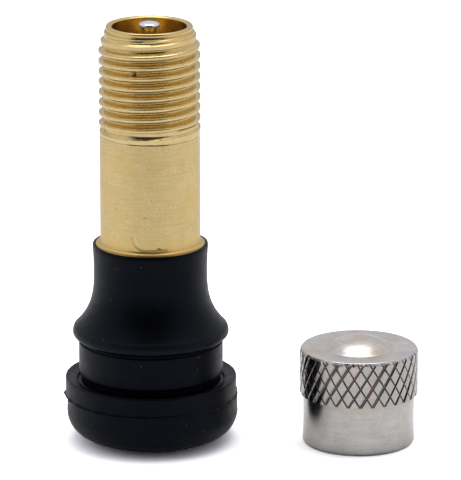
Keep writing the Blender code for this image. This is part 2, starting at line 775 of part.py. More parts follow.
def axis_empty(name, place, group):
    empty = bpy.data.objects.new(name, None)
    empty.location = place
    empty.empty_display_size = EMPTY_SIZE
    group.objects.link(empty)
    return empty


def build():
    clear_scene()
    valve = collection("tyre_valve")
    cutters = collection("cutters", hidden=True)
    rubber = material("black_rubber", (0.016, 0.017, 0.020), 0.55)
    brass = material("brass", (0.66, 0.50, 0.26), 0.32, metallic=1.0)
    steel = material("plated_steel", (0.62, 0.62, 0.66), 0.22, metallic=1.0)
    wire = material("spring_wire", (0.50, 0.50, 0.52), 0.30, metallic=1.0)
    packing = material("packing", (0.80, 0.78, 0.72), 0.50)
    seal = material("seal_rubber", (0.03, 0.03, 0.03), 0.60)
    nickel = material("nickel_plate", (0.56, 0.53, 0.50), 0.28, metallic=1.0)

    stem_axis = axis_empty("valve_axis", (VALVE_X, 0.0, 0.0), valve)
    turned("rubber_body", rubber_profile(), TURN_STEPS, stem_axis, valve, rubber)
    brass_stem(stem_axis, valve, brass)

    core_axis = axis_empty("core_axis", (0.0, 0.0, 0.0), valve)
    core_axis.parent = stem_axis
    core_plug(core_axis, valve, cutters, brass)
    turned("core_barrel", barrel_profile(), CORE_STEPS, core_axis, valve, brass)
    turned("core_washer", washer_profile(), CORE_STEPS, core_axis, valve, packing)
    turned("core_pin", pin_profile(), PIN_STEPS, core_axis, valve, steel, closed=False)
    turned("plunger_cup", cup_profile(), CORE_STEPS, core_axis, valve, brass)
    turned("plunger_seal", seal_profile(), CORE_STEPS, core_axis, valve, seal)
    core_spring(core_axis, valve, wire)

    cap_axis = axis_empty("cap_axis", (CAP_X, CAP_OFFSET_Y, 0.0), valve)
    cap_shell(cap_axis, valve, nickel)
    turned("cap_gasket", gasket_profile(), KNURL_COUNT, cap_axis, valve, seal)


build()
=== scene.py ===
"""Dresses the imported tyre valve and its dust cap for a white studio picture.

All sizes are in metres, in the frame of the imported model. The valve's axis and the cap's axis come
from the frame, and the sizes below repeat the part's own.
"""

import math

import bmesh
import bpy
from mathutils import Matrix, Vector

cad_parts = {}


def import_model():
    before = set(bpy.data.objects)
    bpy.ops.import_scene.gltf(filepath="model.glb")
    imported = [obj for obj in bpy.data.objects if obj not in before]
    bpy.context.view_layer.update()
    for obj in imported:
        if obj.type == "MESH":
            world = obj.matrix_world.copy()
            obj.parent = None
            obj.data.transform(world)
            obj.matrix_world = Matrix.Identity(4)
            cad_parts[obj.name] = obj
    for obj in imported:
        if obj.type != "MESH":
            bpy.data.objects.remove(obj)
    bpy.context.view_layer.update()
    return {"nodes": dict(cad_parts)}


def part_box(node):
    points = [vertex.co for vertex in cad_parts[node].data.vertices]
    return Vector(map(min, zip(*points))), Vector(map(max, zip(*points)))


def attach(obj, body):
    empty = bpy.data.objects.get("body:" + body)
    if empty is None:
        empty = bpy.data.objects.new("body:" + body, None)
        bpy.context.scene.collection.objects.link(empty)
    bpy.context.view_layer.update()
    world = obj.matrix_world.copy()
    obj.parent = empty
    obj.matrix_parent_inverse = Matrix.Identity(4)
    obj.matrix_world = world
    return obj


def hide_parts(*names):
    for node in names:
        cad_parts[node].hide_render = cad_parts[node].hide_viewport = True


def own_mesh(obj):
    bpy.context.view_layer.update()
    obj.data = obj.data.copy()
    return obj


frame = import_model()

# Facets round the turned pieces
STEM_COLUMNS = 256
RUBBER_COLUMNS = 288
CAP_COLUMNS = 240
CORE_COLUMNS = 96
EDGE_STEPS = 4

# Longest stretch of an outline between two rings of facets
RUBBER_STEP = 0.00020
STEM_STEP = 0.00009
CAP_STEP = 0.0006

# Edges that bend more than this are shaded sharp
SHARP_DEG = 40
CAP_SHARP_DEG = 28

# Rubber body
BASE_R = 0.00653
BASE_FOOT_R = 0.00420
BASE_ROUND = 0.00190
BASE_UNDER_DEG = 20
BASE_BORE_R = 0.00195
BASE_BORE_CHAMFER = 0.00035
BASE_SHIFT = 0.00010
FLASH_R = 0.00680
FLASH_Z = 0.00347
FLASH_T = 0.00005
LIP_TOP_Z = 0.00494
LIP_INNER_R = 0.00561
LIP_DIP = 0.00022
LIP_EDGE = 0.00005
TROUGH_DEPTH = 0.00044
TROUGH_INSET = 0.00020
NECK_R = 0.00550
NECK_BOTTOM_Z = 0.00528
NECK_TOP_Z = 0.00775
SLOT_DEPTH = 0.00014
SLOT_H = 0.00012
SHOULDER_R = 0.00595
SHOULDER_Z = 0.00846
SHOULDER_UPPER_W = 0.00040
SHOULDER_UPPER_H = 0.00060
SHOULDER_UPPER_DEG = 65
SHOULDER_LOWER = 0.00038
SHOULDER_LOWER_DEG = -70
WAIST_R = 0.004315
WAIST_Z = 0.01344
WAIST_POWER = 3.0
SLEEVE_TOP_R = 0.00441
SLEEVE_TOP_Z = 0.01537
SLEEVE_POWER = 1.6
BOND_GAP = 0.00004
SEAT_GAP = 0.00005
RUN_GAP = 0.00006

# Brass stem
STEM_R = 0.00380
STEM_OUT_L = 0.01696
RIM_ROUND = 0.00015
PILOT_R = 0.00329
MOUTH_R = 0.00286
MOUTH_CHAMFER_W = 0.00012
MOUTH_CHAMFER_H = 0.00007
FLARE_R = 0.00415
FLARE_H = 0.00030
FLARE_EDGE_W = 0.00007
FLARE_EDGE_H = 0.00006
FLARE_T = 0.00020
FLARE_UNDER_H = 0.00065
FOOT_R = 0.00340
FOOT_BOTTOM_Z = 0.00690
ANCHOR_R = 0.00410
ANCHOR_H = 0.00095
BORE_R = 0.00185
SEAT_CONE_R = 0.00235
CORE_THREAD_R = 0.00250
COUNTERBORE_R = 0.00280
COUNTERBORE_L = 0.00145

# Outer thread
THREAD_R = 0.00385
THREAD_ROOT_R = 0.00340
THREAD_PITCH = 0.000794
THREAD_START_DEPTH = 0.00027
THREAD_L = 0.00825
THREAD_CREST_DEPTH = 0.002321
THREAD_SNAP = 0.000025

# Its lead cone and first turns, whose crests are cut low, leaning and over shallow grooves
THREAD_LEAD_SLOPE = 0.70
THREAD_LEAD_BLEND = 0.00009
THREAD_FIRST_DEPTH = 0.00073
THREAD_FIRST_L = 0.001
THREAD_FIRST_R = 0.00355
THREAD_FIRST_SLOPE = 0.34
THREAD_FIRST_BLEND = 0.00008
THREAD_FIRST_SHIFT = 0.20
THREAD_FIRST_CUT = 0.1
THREAD_FIRST_ROOT = 0.00006
THREAD_SHALLOW_DEPTH = 0.0005
THREAD_SHALLOW_REACH = 0.0004

# Its runout: a short cone down from the plain stem, then a level root, over which the thread grows
THREAD_FADE_Z = 0.00040
THREAD_FADE_H = 0.00014
THREAD_END_SLOPE = 0.48
THREAD_END_CONE = 0.00027
THREAD_END_L = 0.00055
THREAD_END_DROP = 2.0

# Unevenness
FLASH_LIFT = 0.00003
LIP_WAVE = 0.000012
UNDER_WAVE = 0.000010
SHOULDER_WAVE = 0.000010
LATHE_WAVE = 0.0000015
RIM_WEAR = 0.000005
THREAD_WEAR = 0.000012

# Core
CORE_THREAD_PITCH = 0.000706
PLUG_DEPTH = 0.00239
PLUG_ROOT_R = 0.00221
PLUG_BRIDGE_H = 0.00170
PLUG_BRIDGE_T = 0.00100
PLUG_BRIDGE_HALF_W = 0.00090
PLUG_CUTTER_W = 0.01
PLUG_CUTTER_D = 0.005
PLUG_CUTTER_H = 0.004
PLUG_HEAD_R = 0.00210
PLUG_THREAD_L = 0.00348
PLUG_FADE_H = 0.0003
PLUG_EDGE = 0.00012
PLUG_BORE_R = 0.00145
PLUG_LIP_H = 0.00090
SWIVEL_R = 0.00178
SWIVEL_H = 0.00065
BARREL_NECK_R = 0.00154
BARREL_L = 0.01076
COLLAR_H = 0.00026
WASHER_L = 0.00175
SEAT_LAND_H = 0.00110
PIN_R = 0.000555
PIN_LOWER_R = 0.00055
PIN_PROUD = 0.00023
PIN_HEAD_R = 0.00077
PIN_HEAD_H = 0.00040
PIN_HEAD_DOME = 0.00010
PIN_TAPER_H = 0.00022
PIN_NECK_T = 0.00002
PIN_RING_H = 0.00022
PIN_COLLAR_R = 0.00108
PIN_COLLAR_H = 0.00040
PIN_FOOT_R = 0.00085
PIN_FOOT_H = 0.00036
SPRING_R = 0.00093
SPRING_WIRE_R = 0.00012
SPRING_L = 0.00680
SPRING_TURNS = 7
SPRING_END_TURNS = 1
SPRING_POINTS_A_TURN = 36
SPRING_SIDES = 12
PLUNGER_SEAL_H = 0.00175
CUP_FLOOR_T = 0.00040

# Dust cap
CAP_R = 0.00451
CAP_TOP_Z = 0.00742
CAP_CHAMFER_W = 0.00012
CAP_CHAMFER_H = 0.00020
CAP_SKIRT_R = 0.00427
CAP_SKIRT_WAIST = 0.00003
CAP_DOME_R = 0.00256
CAP_DOME_H = 0.00085
CAP_MOAT_W = 0.00016
CAP_MOAT_T = 0.00007
CAP_BORE_R = 0.00392
CAP_ROOF_T = 0.00150
KNURL_COUNT = 30
KNURL_BOTTOM_Z = 0.00388
KNURL_DIAMOND_H = 0.00152
KNURL_DEPTH = 0.00012
KNURL_STEP_H = 0.00007
CAP_EDGE_DROP = 0.00003

# Camera, fitted to the ellipses of the mouth, the rubber's edges and the cap
CAMERA_SIDE = 0.006084
CAMERA_BACK = 0.31816
CAMERA_HEIGHT = 0.10578
CAMERA_PITCH_DEG = 15.83
CAMERA_LENS = 326.8
CAMERA_SENSOR = 36.0

# Heights worked out from the sizes above
STEM_TOP_Z = SLEEVE_TOP_Z + STEM_OUT_L
THREAD_TOP_Z = STEM_TOP_Z - THREAD_START_DEPTH
THREAD_BOTTOM_Z = THREAD_TOP_Z - THREAD_L
PLUG_R = CORE_THREAD_R - RUN_GAP
PLUG_TOP_Z = STEM_TOP_Z - PLUG_DEPTH
PLUG_SHOULDER_Z = PLUG_TOP_Z - PLUG_BRIDGE_H
PLUG_BOTTOM_Z = PLUG_SHOULDER_Z - PLUG_THREAD_L
PLUG_LIP_Z = PLUG_BOTTOM_Z + PLUG_LIP_H
PLUG_POCKET_TOP_Z = PLUG_LIP_Z + SWIVEL_H + 2 * RUN_GAP
COLLAR_TOP_Z = PLUG_BOTTOM_Z - RUN_GAP
SEAT_TOP_Z = COLLAR_TOP_Z - COLLAR_H
SEAT_BOTTOM_Z = SEAT_TOP_Z - WASHER_L
BARREL_BOTTOM_Z = COLLAR_TOP_Z - BARREL_L
SPRING_SEAT_Z = BARREL_BOTTOM_Z + SEAT_LAND_H
PIN_COLLAR_Z = SPRING_SEAT_Z + SPRING_L
SPRING_BOTTOM_Z = SPRING_SEAT_Z + SEAT_GAP
SPRING_TOP_Z = PIN_COLLAR_Z - SEAT_GAP
PIN_TOP_Z = STEM_TOP_Z + PIN_PROUD
CUP_BOTTOM_Z = BARREL_BOTTOM_Z - 2 * SEAT_GAP - PLUNGER_SEAL_H - CUP_FLOOR_T
PIN_FOOT_TOP_Z = CUP_BOTTOM_Z - SEAT_GAP
PIN_HOLE_R = PIN_R + RUN_GAP
CAP_ROOF_Z = CAP_TOP_Z - CAP_ROOF_T

FLOOR_SIZE = 0.7
FLOOR_COLOR = (0.80, 0.80, 0.80)
FLOOR_MIRRORED = (1.18, 1.18, 1.18)
FLOOR_SEEN = (2.10, 2.11, 2.16)
MERGE = 1e-7

# The light tent: its grey by the sine of the elevation
TENT = ((0.0, 0.62), (0.25, 0.70), (0.50, 0.80), (0.88, 0.92), (1.0, 1.0))
TENT_BLUE = 1.03
TENT_STRENGTH = 1.1

# The dark room on the camera's side: where it begins and ends, by the sine of the elevation, and
# how directly towards the camera, by the cosine of the angle round Z
DARK_FROM = (-0.12, -0.06)
DARK_TO = (0.955, 0.995)
DARK_SIDE = (0.55, 0.82)
DARK_COLOR = (0.03, 0.03, 0.035)

SOFTBOX_AT = (0.0, 0.065, 0.40)
SOFTBOX_TARGET = (0.0, 0.0, 0.015)
SOFTBOX_SIZE = (0.30, 0.24)
SOFTBOX_POWER = 0.45

# Colours of the metals: darker, usual and lighter
BRASS_EDGE = (0.82, 0.82, 0.84)
PLAIN_TONES = ((0.54, 0.41, 0.18), (0.61, 0.465, 0.215), (0.69, 0.54, 0.27))
CUT_TONES = ((0.55, 0.41, 0.185), (0.62, 0.475, 0.225), (0.68, 0.54, 0.28))
BORE_TONES = ((0.66, 0.46, 0.13), (0.76, 0.54, 0.165), (0.85, 0.62, 0.23))
RING_TONES = ((0.20, 0.13, 0.05), (0.27, 0.18, 0.07), (0.34, 0.24, 0.10))
NICKEL_TONES = ((0.34, 0.325, 0.31), (0.40, 0.385, 0.37), (0.46, 0.445, 0.43))
SKIRT_TONES = ((0.38, 0.37, 0.35), (0.45, 0.435, 0.415), (0.52, 0.505, 0.485))
TOP_TONES = ((0.44, 0.415, 0.395), (0.52, 0.495, 0.475), (0.60, 0.575, 0.555))
STEEL_TONES = ((0.58, 0.58, 0.64), (0.66, 0.66, 0.73), (0.74, 0.74, 0.82))
WIRE_TONES = ((0.44, 0.44, 0.46), (0.52, 0.52, 0.54), (0.60, 0.60, 0.62))

# Colours of the other materials: darker and lighter
RUBBER_TONES = ((0.0008, 0.0009, 0.0016), (0.0018, 0.0019, 0.0030))
SEAL_TONES = ((0.010, 0.010, 0.011), (0.020, 0.020, 0.022))
PACKING_TONES = ((0.72, 0.70, 0.64), (0.84, 0.82, 0.76))

# Colours of what lies on them, and of painted shade and sheen
GRAIN = (0.38, 0.27, 0.12)
WARM_PATCH = (0.62, 0.42, 0.14)
SCRATCH = (0.30, 0.22, 0.11)
# Painted shade: the deeper gold that stands for light bounced in the thread's roots
ROOT_SHADE_BRASS = (0.60, 0.42, 0.16)
BRASS_DIRT = (0.27, 0.19, 0.12)
TAN_TARNISH = (0.46, 0.36, 0.27)
BLUE_TARNISH = (0.40, 0.38, 0.46)
# Painted shade for the knurl's grooves, and the reddish rust mixed into it
GROOVE_SHADE = (0.125, 0.120, 0.115)
GROOVE_RUST = (0.22, 0.13, 0.095)
SKIRT_STAIN = (0.38, 0.29, 0.22)
PIT = (0.06, 0.05, 0.05)
# Painted sheen: a lighter band round the rubber's shoulder
SHOULDER_SHEEN = (0.0085, 0.0100, 0.0135)
GREY_DUST = (0.16, 0.16, 0.17)
TAN_DUST = (0.20, 0.15, 0.09)


def axis_of(node):
    """The upright line through the middle of a CAD node."""
    low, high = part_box(node)
    return Vector(((low.x + high.x) / 2, (low.y + high.y) / 2, 0.0))


VALVE_AXIS = axis_of("brass_stem")
CAP_AXIS = axis_of("cap_gasket")


def wobble(angle, seed, waves=(2, 3, 5, 8, 13)):
    """A smooth uneven value from -1 to 1 round the axis, the same in each run."""
    total = 0.0
    for i, wave in enumerate(waves):
        total += math.sin(wave * angle + seed * (i + 1.7) * 2.4) / (i + 1.5)
    return max(-1.0, min(1.0, total * 0.7))


def arc(center_r, center_z, radius_r, radius_z, start_deg, end_deg, steps):
    """Points (r, z) along an elliptic arc, both ends included; 0 degrees points outwards."""
    points = []
    for i in range(steps + 1):
        angle = math.radians(start_deg + (end_deg - start_deg) * i / steps)
        points.append((center_r + radius_r * math.cos(angle), center_z + radius_z * math.sin(angle)))
    return points


def softened(corners, steps=EDGE_STEPS):
    """Points of an outline. A corner (r, z, cut) is rounded from cut before it to cut after it, and
    a corner (r, z) stays sharp."""
    points = []
    for i, (r, z, *cut) in enumerate(corners):
        if not cut:
            points.append((r, z))
            continue
        here = Vector((r, z))
        before = Vector(corners[i - 1][:2]) - here
        after = Vector(corners[(i + 1) % len(corners)][:2]) - here
        start = here + before.normalized() * min(*cut, before.length * 0.48)
        end = here + after.normalized() * min(*cut, after.length * 0.48)
        for step in range(steps + 1):
            t = step / steps
            point = start * (1 - t) ** 2 + here * (2 * t * (1 - t)) + end * t**2
            points.append((point.x, point.y))
    return points


def walked(points, longest):
    """The same outline with no stretch longer than the given length."""
    made = [points[0]]
    for (r0, z0), (r1, z1) in zip(points, points[1:]):
        parts = max(1, math.ceil(math.hypot(r1 - r0, z1 - z0) / longest))
        for i in range(1, parts + 1):
            made.append((r0 + (r1 - r0) * i / parts, z0 + (z1 - z0) * i / parts))
    return made


def spin_into(bm, outline, columns, closed, uneven=None, slots=None):
    """Adds the outline turned round Z. uneven(r, z, angle) may shift a point, and slots gives
    each stretch of the outline the number of its material."""
    rows = []
    for r, z in outline:
        row = []
        for i in range(columns):
            angle = math.tau * i / columns
            at_r, at_z = uneven(r, z, angle) if uneven else (r, z)
            row.append(bm.verts.new((at_r * math.cos(angle), at_r * math.sin(angle), at_z)))
        rows.append(row)
    pairs = list(zip(rows, rows[1:]))
    if closed:
        pairs.append((rows[-1], rows[0]))
    for k, (upper, lower) in enumerate(pairs):
        for i in range(columns):
            j = (i + 1) % columns
            face = bm.faces.new((upper[i], lower[i], lower[j], upper[j]))
            face.smooth = True
            if slots:
                face.material_index = slots[k]


def finished(name, bm, axis, looks, sharp_deg=SHARP_DEG):
    """Welds the surface, sets it on its axis and makes it an object."""
    bmesh.ops.remove_doubles(bm, verts=bm.verts, dist=MERGE)
    bmesh.ops.recalc_face_normals(bm, faces=bm.faces)
    mesh = bpy.data.meshes.new(name)
    bm.to_mesh(mesh)
    bm.free()
    for look in looks:
        mesh.materials.append(look)
    mesh.shade_smooth()
    mesh.set_sharp_from_angle(angle=math.radians(sharp_deg))
    obj = bpy.data.objects.new(name, mesh)
    obj.location = axis
    bpy.context.scene.collection.objects.link(obj)
    return obj


def open_ring(bm, height, tolerance=2e-6):
    """The vertices of the open edge loop at this height, in order of angle."""
    found = {
        vert
        for edge in bm.edges
        if edge.is_boundary
        for vert in edge.verts
        if abs(vert.co.z - height) < tolerance
    }
    return sorted(found, key=lambda vert: math.atan2(vert.co.y, vert.co.x) % math.tau)


def zip_rings(bm, first, second, slot=0):
    """Joins two rings round Z that may have unlike counts, with triangles in order of angle."""

    def angle(ring, i):
        vert = ring[i % len(ring)]
        return math.atan2(vert.co.y, vert.co.x) % math.tau + i // len(ring) * math.tau

    a, b = 0, 0
    while a < len(first) or b < len(second):
        step_first = b >= len(second) or (a < len(first) and angle(first, a + 1) <= angle(second, b + 1))
        corners = [first[a % len(first)], second[b % len(second)]]
        if step_first:
            a += 1
            corners.append(first[a % len(first)])
        else:
            b += 1
            corners.append(second[b % len(second)])
        if len(set(corners)) == 3 and not bm.faces.get(corners):
            face = bm.faces.new(corners)
            face.material_index = slot


# Materials


class Wiring:
    """A node tree with a few helpers to wire it."""

    def __init__(self, tree):
        self.tree = tree

    def node(self, kind, inputs=None, **settings):
        """A node whose inputs, by name or number, are plain values or other nodes' outputs."""
        made = self.tree.nodes.new(kind)
        for key, value in settings.items():
            setattr(made, key, value)
        for key, value in (inputs or {}).items():
            if isinstance(value, bpy.types.NodeSocket):
                self.link(value, made.inputs[key])
            else:
                made.inputs[key].default_value = value
        return made

    def link(self, source, target):
        self.tree.links.new(source, target)

    def math(self, operation, *terms):
        return self.node("ShaderNodeMath", dict(enumerate(terms)), operation=operation).outputs[0]

    def weighed(self, *parts):
        """The sum of values, each times its share."""
        total = self.math("MULTIPLY", *parts[0])
        for part in parts[1:]:
            total = self.math("ADD", total, self.math("MULTIPLY", *part))
        return total

    def split(self, vector):
        """The X, Y and Z of a vector."""
        return list(self.node("ShaderNodeSeparateXYZ", {0: vector}).outputs)

    def length(self, x, y):
        return self.math("SQRT", self.weighed((x, x), (y, y)))

    def ramp(self, value, *stops):
        """Colours from stops (position, (r, g, b))."""
        made = self.node("ShaderNodeValToRGB", {"Fac": value})
        while len(made.color_ramp.elements) < len(stops):
            made.color_ramp.elements.new(0.5)
        for element, (position, color) in zip(made.color_ramp.elements, stops):
            element.position = position
            element.color = (*color, 1.0)
        return made.outputs["Color"]

    def mix(self, share, *colors):
        """From the first of two colours to the second, each (r, g, b) or another node's output."""
        first, second = ((*color, 1.0) if isinstance(color, tuple) else color for color in colors)
        return self.node("ShaderNodeMix", {0: share, 6: first, 7: second}, data_type="RGBA").outputs[2]

    def remap(self, value, start, end, low=0.0, high=1.0, kind="LINEAR"):
        """Maps start to end onto low to high, and holds the values beyond."""
        inputs = dict(enumerate((value, start, end, low, high)))
        return self.node("ShaderNodeMapRange", inputs, interpolation_type=kind).outputs[0]


class Look(Wiring):
    """A material with one Principled shader, and patterns in the piece's own coordinates."""

    def __init__(self, name, roughness, metallic=0.0):
        self.made = bpy.data.materials.new(name)
        self.made.use_nodes = True
        super().__init__(self.made.node_tree)
        self.shader = self.tree.nodes["Principled BSDF"]
        self.shader.inputs["Roughness"].default_value = roughness
        self.shader.inputs["Metallic"].default_value = metallic
        self.place = self.node("ShaderNodeTexCoord").outputs["Object"]

    def noise(self, scale, detail=3.0, rough=0.55, stretch=(1.0, 1.0, 1.0)):
        """Noise of this many waves a metre, stretched along X, Y and Z."""
        place = self.node("ShaderNodeMapping", {"Vector": self.place, "Scale": stretch}).outputs[0]
        inputs = {"Vector": place, "Scale": scale, "Detail": detail, "Roughness": rough}
        return self.node("ShaderNodeTexNoise", inputs).outputs["Fac"]

    def spots(self, scale, size):
        """Small round spots: 1 inside a spot and 0 outside."""
        cells = self.node("ShaderNodeTexVoronoi", {"Vector": self.place, "Scale": scale})
        return self.math("LESS_THAN", cells.outputs["Distance"], size)

    def radius(self):
        """Distance from the piece's own axis."""
        return self.length(*self.split(self.place)[:2])

    def height(self):
        """Height over the floor."""
        return self.split(self.place)[2]

    def turned_lines(self, scale, detail=2.0, reach=0.03):
        """Noise that runs round the axis, as a lathe tool leaves it, on walls and on flat tops.
        A larger reach makes its lines shorter."""
        x, y, z = self.split(self.place)
        across = [self.math("MULTIPLY", side, scale * reach) for side in (x, y)]
        along = self.math("MULTIPLY", self.math("ADD", z, self.radius()), scale)
        joined = self.node("ShaderNodeCombineXYZ", dict(enumerate((*across, along)))).outputs[0]
        inputs = {"Vector": joined, "Scale": 1.0, "Detail": detail}
        return self.node("ShaderNodeTexNoise", inputs).outputs["Fac"]

    def clouded(self, value, tones):
        """The darker and the lighter colour of a material, by noise."""
        return self.ramp(value, (0.35, tones[0]), (0.65, tones[1]))

    def spread(self, value, low, high):
        """Maps 0.3 to 0.7, the usual reach of noise, onto low to high."""
        return self.remap(value, 0.3, 0.7, low, high)

    def bump(self, value, height):
        made = self.node("ShaderNodeBump", {"Strength": 1.0, "Distance": height, "Height": value})
        normal = self.shader.inputs["Normal"]
        if normal.is_linked:
            self.link(normal.links[0].from_socket, made.inputs["Normal"])
        self.link(made.outputs["Normal"], normal)

    def color(self, value):
        self.link(value, self.shader.inputs["Base Color"])

    def roughness(self, value):
        self.link(value, self.shader.inputs["Roughness"])


def turned_metal(name, tones, roughness, line_height, line_scale=24000.0, grain=0.0000012, edge=None):
    """Lathe-turned metal: tones are its darker, usual and lighter colour."""
    look = Look(name, sum(roughness) / 2, metallic=1.0)
    if edge:
        look.shader.inputs["Specular Tint"].default_value = (*edge, 1.0)
    lines = look.turned_lines(line_scale)
    cloud = look.noise(900.0, detail=4.0)
    speck = look.noise(9000.0, detail=2.0)
    tint = look.weighed((lines, 0.30), (cloud, 0.35), (speck, 0.35))
    look.tint = look.ramp(tint, (0.38, tones[0]), (0.5, tones[1]), (0.62, tones[2]))
    look.color(look.tint)
    look.roughness(look.spread(look.weighed((lines, 0.6), (cloud, 0.4)), *roughness))
    look.bump(lines, line_height)
    look.bump(look.noise(14000.0, detail=2.0), grain)
    return look


def plain_brass():
    """The satin stem: grain, short fine scratches round it and a few warmer patches."""
    look = turned_metal("plain_brass", PLAIN_TONES, (0.28, 0.42), 0.0000022, 16000.0, 0.0000040, BRASS_EDGE)
    grain = look.remap(look.noise(13000.0, detail=1.0), 0.32, 0.50, 0.42, 0.0)
    color = look.mix(grain, look.tint, GRAIN)
    warm = look.remap(look.noise(300.0, detail=4.0), 0.54, 0.70, 0.0, 0.40)
    low = look.remap(look.height(), SLEEVE_TOP_Z + 0.0003, SLEEVE_TOP_Z + 0.0013, 0.75, 0.0)
    color = look.mix(look.math("MAXIMUM", warm, low), color, WARM_PATCH)
    scratch = look.remap(look.turned_lines(9000.0, 2.0, 0.05), 0.27, 0.35, 0.30, 0.0)
    look.color(look.mix(scratch, color, SCRATCH))
    return look.made


def cut_brass():
    """The thread and the rim: brighter crests over roots painted a deeper gold as shade."""
    look = turned_metal("cut_brass", CUT_TONES, (0.18, 0.30), 0.0000012, 24000.0, 0.0000030, BRASS_EDGE)
    # Painted shade: all no wider than the thread's roots, the rim too, takes a deeper gold, fading out
    # towards the crests
    low = look.remap(look.radius(), THREAD_ROOT_R, THREAD_R - 0.00010, 0.6, 0.0)
    color = look.mix(low, look.tint, ROOT_SHADE_BRASS)
    dirt = look.remap(look.noise(3000.0, detail=4.0, rough=0.7), 0.62, 0.72, 0.0, 0.45)
    look.color(look.mix(dirt, color, BRASS_DIRT))
    return look.made


def nickel_top():
    """The cap's top: soft, with tan and bluish tarnish."""
    look = turned_metal("nickel_top", TOP_TONES, (0.20, 0.36), 0.0000014, 20000.0, 0.0000022)
    tan = look.remap(look.noise(430.0, detail=5.0, rough=0.65), 0.50, 0.66, 0.0, 0.70)
    color = look.mix(tan, look.tint, TAN_TARNISH)
    blue = look.remap(look.noise(390.0, detail=4.0, stretch=(1.0, 1.3, 1.0)), 0.36, 0.46, 0.55, 0.0)
    look.color(look.mix(blue, color, BLUE_TARNISH))
    return look.made


def nickel_knurl():
    """The knurl: clean diamonds between grooves painted dark as shade, reddish in places."""
    look = turned_metal("nickel_knurl", NICKEL_TONES, (0.10, 0.20), 0.0000006)
    # Painted shade in the knurl's grooves: dark, reddish in places, full in their deeper half and fading out
    # at their edges
    rust = look.remap(look.noise(620.0, detail=3.0), 0.50, 0.64)
    dark = look.mix(rust, GROOVE_SHADE, GROOVE_RUST)
    deep = look.remap(look.radius(), CAP_R - KNURL_DEPTH * 0.55, CAP_R - KNURL_DEPTH * 0.10, 1.0, 0.0)
    look.color(look.mix(deep, look.tint, dark))
    return look.made


def nickel_skirt():
    """The plain skirt: low and high turned lines, faint tan stains, and a darker tan band in broken lines
    just under the knurl.
    """
    look = turned_metal("nickel_skirt", SKIRT_TONES, (0.05, 0.22), 0.0000014, 12000.0, 0.0000014)
    tan = look.remap(look.noise(520.0, detail=5.0, rough=0.65), 0.56, 0.72, 0.0, 0.45)
    # Darker tan just under the knurl, in broken lines
    upper = look.remap(look.height(), KNURL_BOTTOM_Z - 0.00065, KNURL_BOTTOM_Z - 0.00015, 0.0, 0.55)
    line = look.math("MULTIPLY", upper, look.remap(look.noise(450.0, detail=3.0), 0.38, 0.55))
    color = look.mix(look.math("MAXIMUM", tan, line), look.tint, SKIRT_STAIN)
    pit = look.math("MULTIPLY", look.spots(700.0, 0.045), look.math("GREATER_THAN", look.noise(500.0), 0.55))
    look.color(look.mix(pit, color, PIT))
    return look.made


def black_rubber():
    """Satin black, with specks of dust and a painted sheen round the shoulder, a lighter band in fine turned
    lines.
    """
    look = Look("moulded_rubber", 0.5)
    look.shader.inputs["Specular IOR Level"].default_value = 0.11
    look.shader.inputs["Specular Tint"].default_value = (0.60, 0.72, 1.0, 1.0)
    cloud = look.noise(700.0, detail=4.0)
    color = look.clouded(cloud, RUBBER_TONES)
    dusty = look.math("GREATER_THAN", look.noise(600.0), 0.53)
    dust = look.math("MULTIPLY", look.spots(1700.0, 0.060), dusty)
    fluff = look.mix(look.remap(look.noise(3000.0), 0.45, 0.60), GREY_DUST, TAN_DUST)
    # Painted sheen: a lighter band round the shoulder's widest place, broken into fine turned lines
    inner = look.remap(look.radius(), SHOULDER_R - 0.00022, SHOULDER_R - 0.00004)
    outer = look.remap(look.radius(), SHOULDER_R + 0.00004, SHOULDER_R + 0.0002, 1.0, 0.0)
    worn = look.spread(look.turned_lines(9000.0, 3.0, 0.05), 0.3, 1.0)
    painted_sheen = look.math("MULTIPLY", look.math("MULTIPLY", inner, outer), worn)
    color = look.mix(painted_sheen, color, SHOULDER_SHEEN)
    look.color(look.mix(dust, color, fluff))
    look.roughness(look.spread(look.noise(1800.0, detail=4.0), 0.34, 0.46))
    look.bump(look.noise(9000.0, detail=3.0), 0.000004)
    look.bump(look.noise(1500.0, detail=3.0), 0.000008)
    look.bump(look.turned_lines(7000.0, 2.0, 0.05), 0.000003)
    return look.made


def soft_seal():
    look = Look("seal_rubber", 0.6)
    look.color(look.clouded(look.noise(2500.0), SEAL_TONES))
    look.bump(look.noise(12000.0, detail=3.0), 0.000004)
    return look.made


def packing():
    look = Look("white_packing", 0.45)
    look.color(look.clouded(look.noise(3000.0), PACKING_TONES))
    look.bump(look.turned_lines(20000.0), 0.000003)
    return look.made


# Rubber body


def sleeve_curve(waist_r, waist_z, end_r, end_z, power, steps):
    """From the waist to an end, flaring as a power of the way there."""
    points = []
    for i in range(steps + 1):
        t = i / steps
        points.append((waist_r + (end_r - waist_r) * t**power, waist_z + (end_z - waist_z) * t))
    return points


def shoulder_curve():
    """A tall soft round above the widest place and a tighter one below it."""
    inset = SHOULDER_R - SHOULDER_UPPER_W
    upper = arc(inset, SHOULDER_Z, SHOULDER_UPPER_W, SHOULDER_UPPER_H, SHOULDER_UPPER_DEG, 0, 12)
    inset = SHOULDER_R - SHOULDER_LOWER
    lower = arc(inset, SHOULDER_Z, SHOULDER_LOWER, SHOULDER_LOWER, 0, SHOULDER_LOWER_DEG, 12)
    return upper + lower[1:]


def base_curve():
    """The base's wall rounds over into a shallow cone, which ends at the flat foot."""
    slope = math.radians(BASE_UNDER_DEG)
    round_r = BASE_R - BASE_ROUND
    round_z = (round_r - BASE_FOOT_R) * math.tan(slope) + BASE_ROUND / math.cos(slope)
    points = arc(round_r, round_z, BASE_ROUND, BASE_ROUND, 0, BASE_UNDER_DEG - 90, 20)
    return points + [(BASE_FOOT_R, 0.0)]


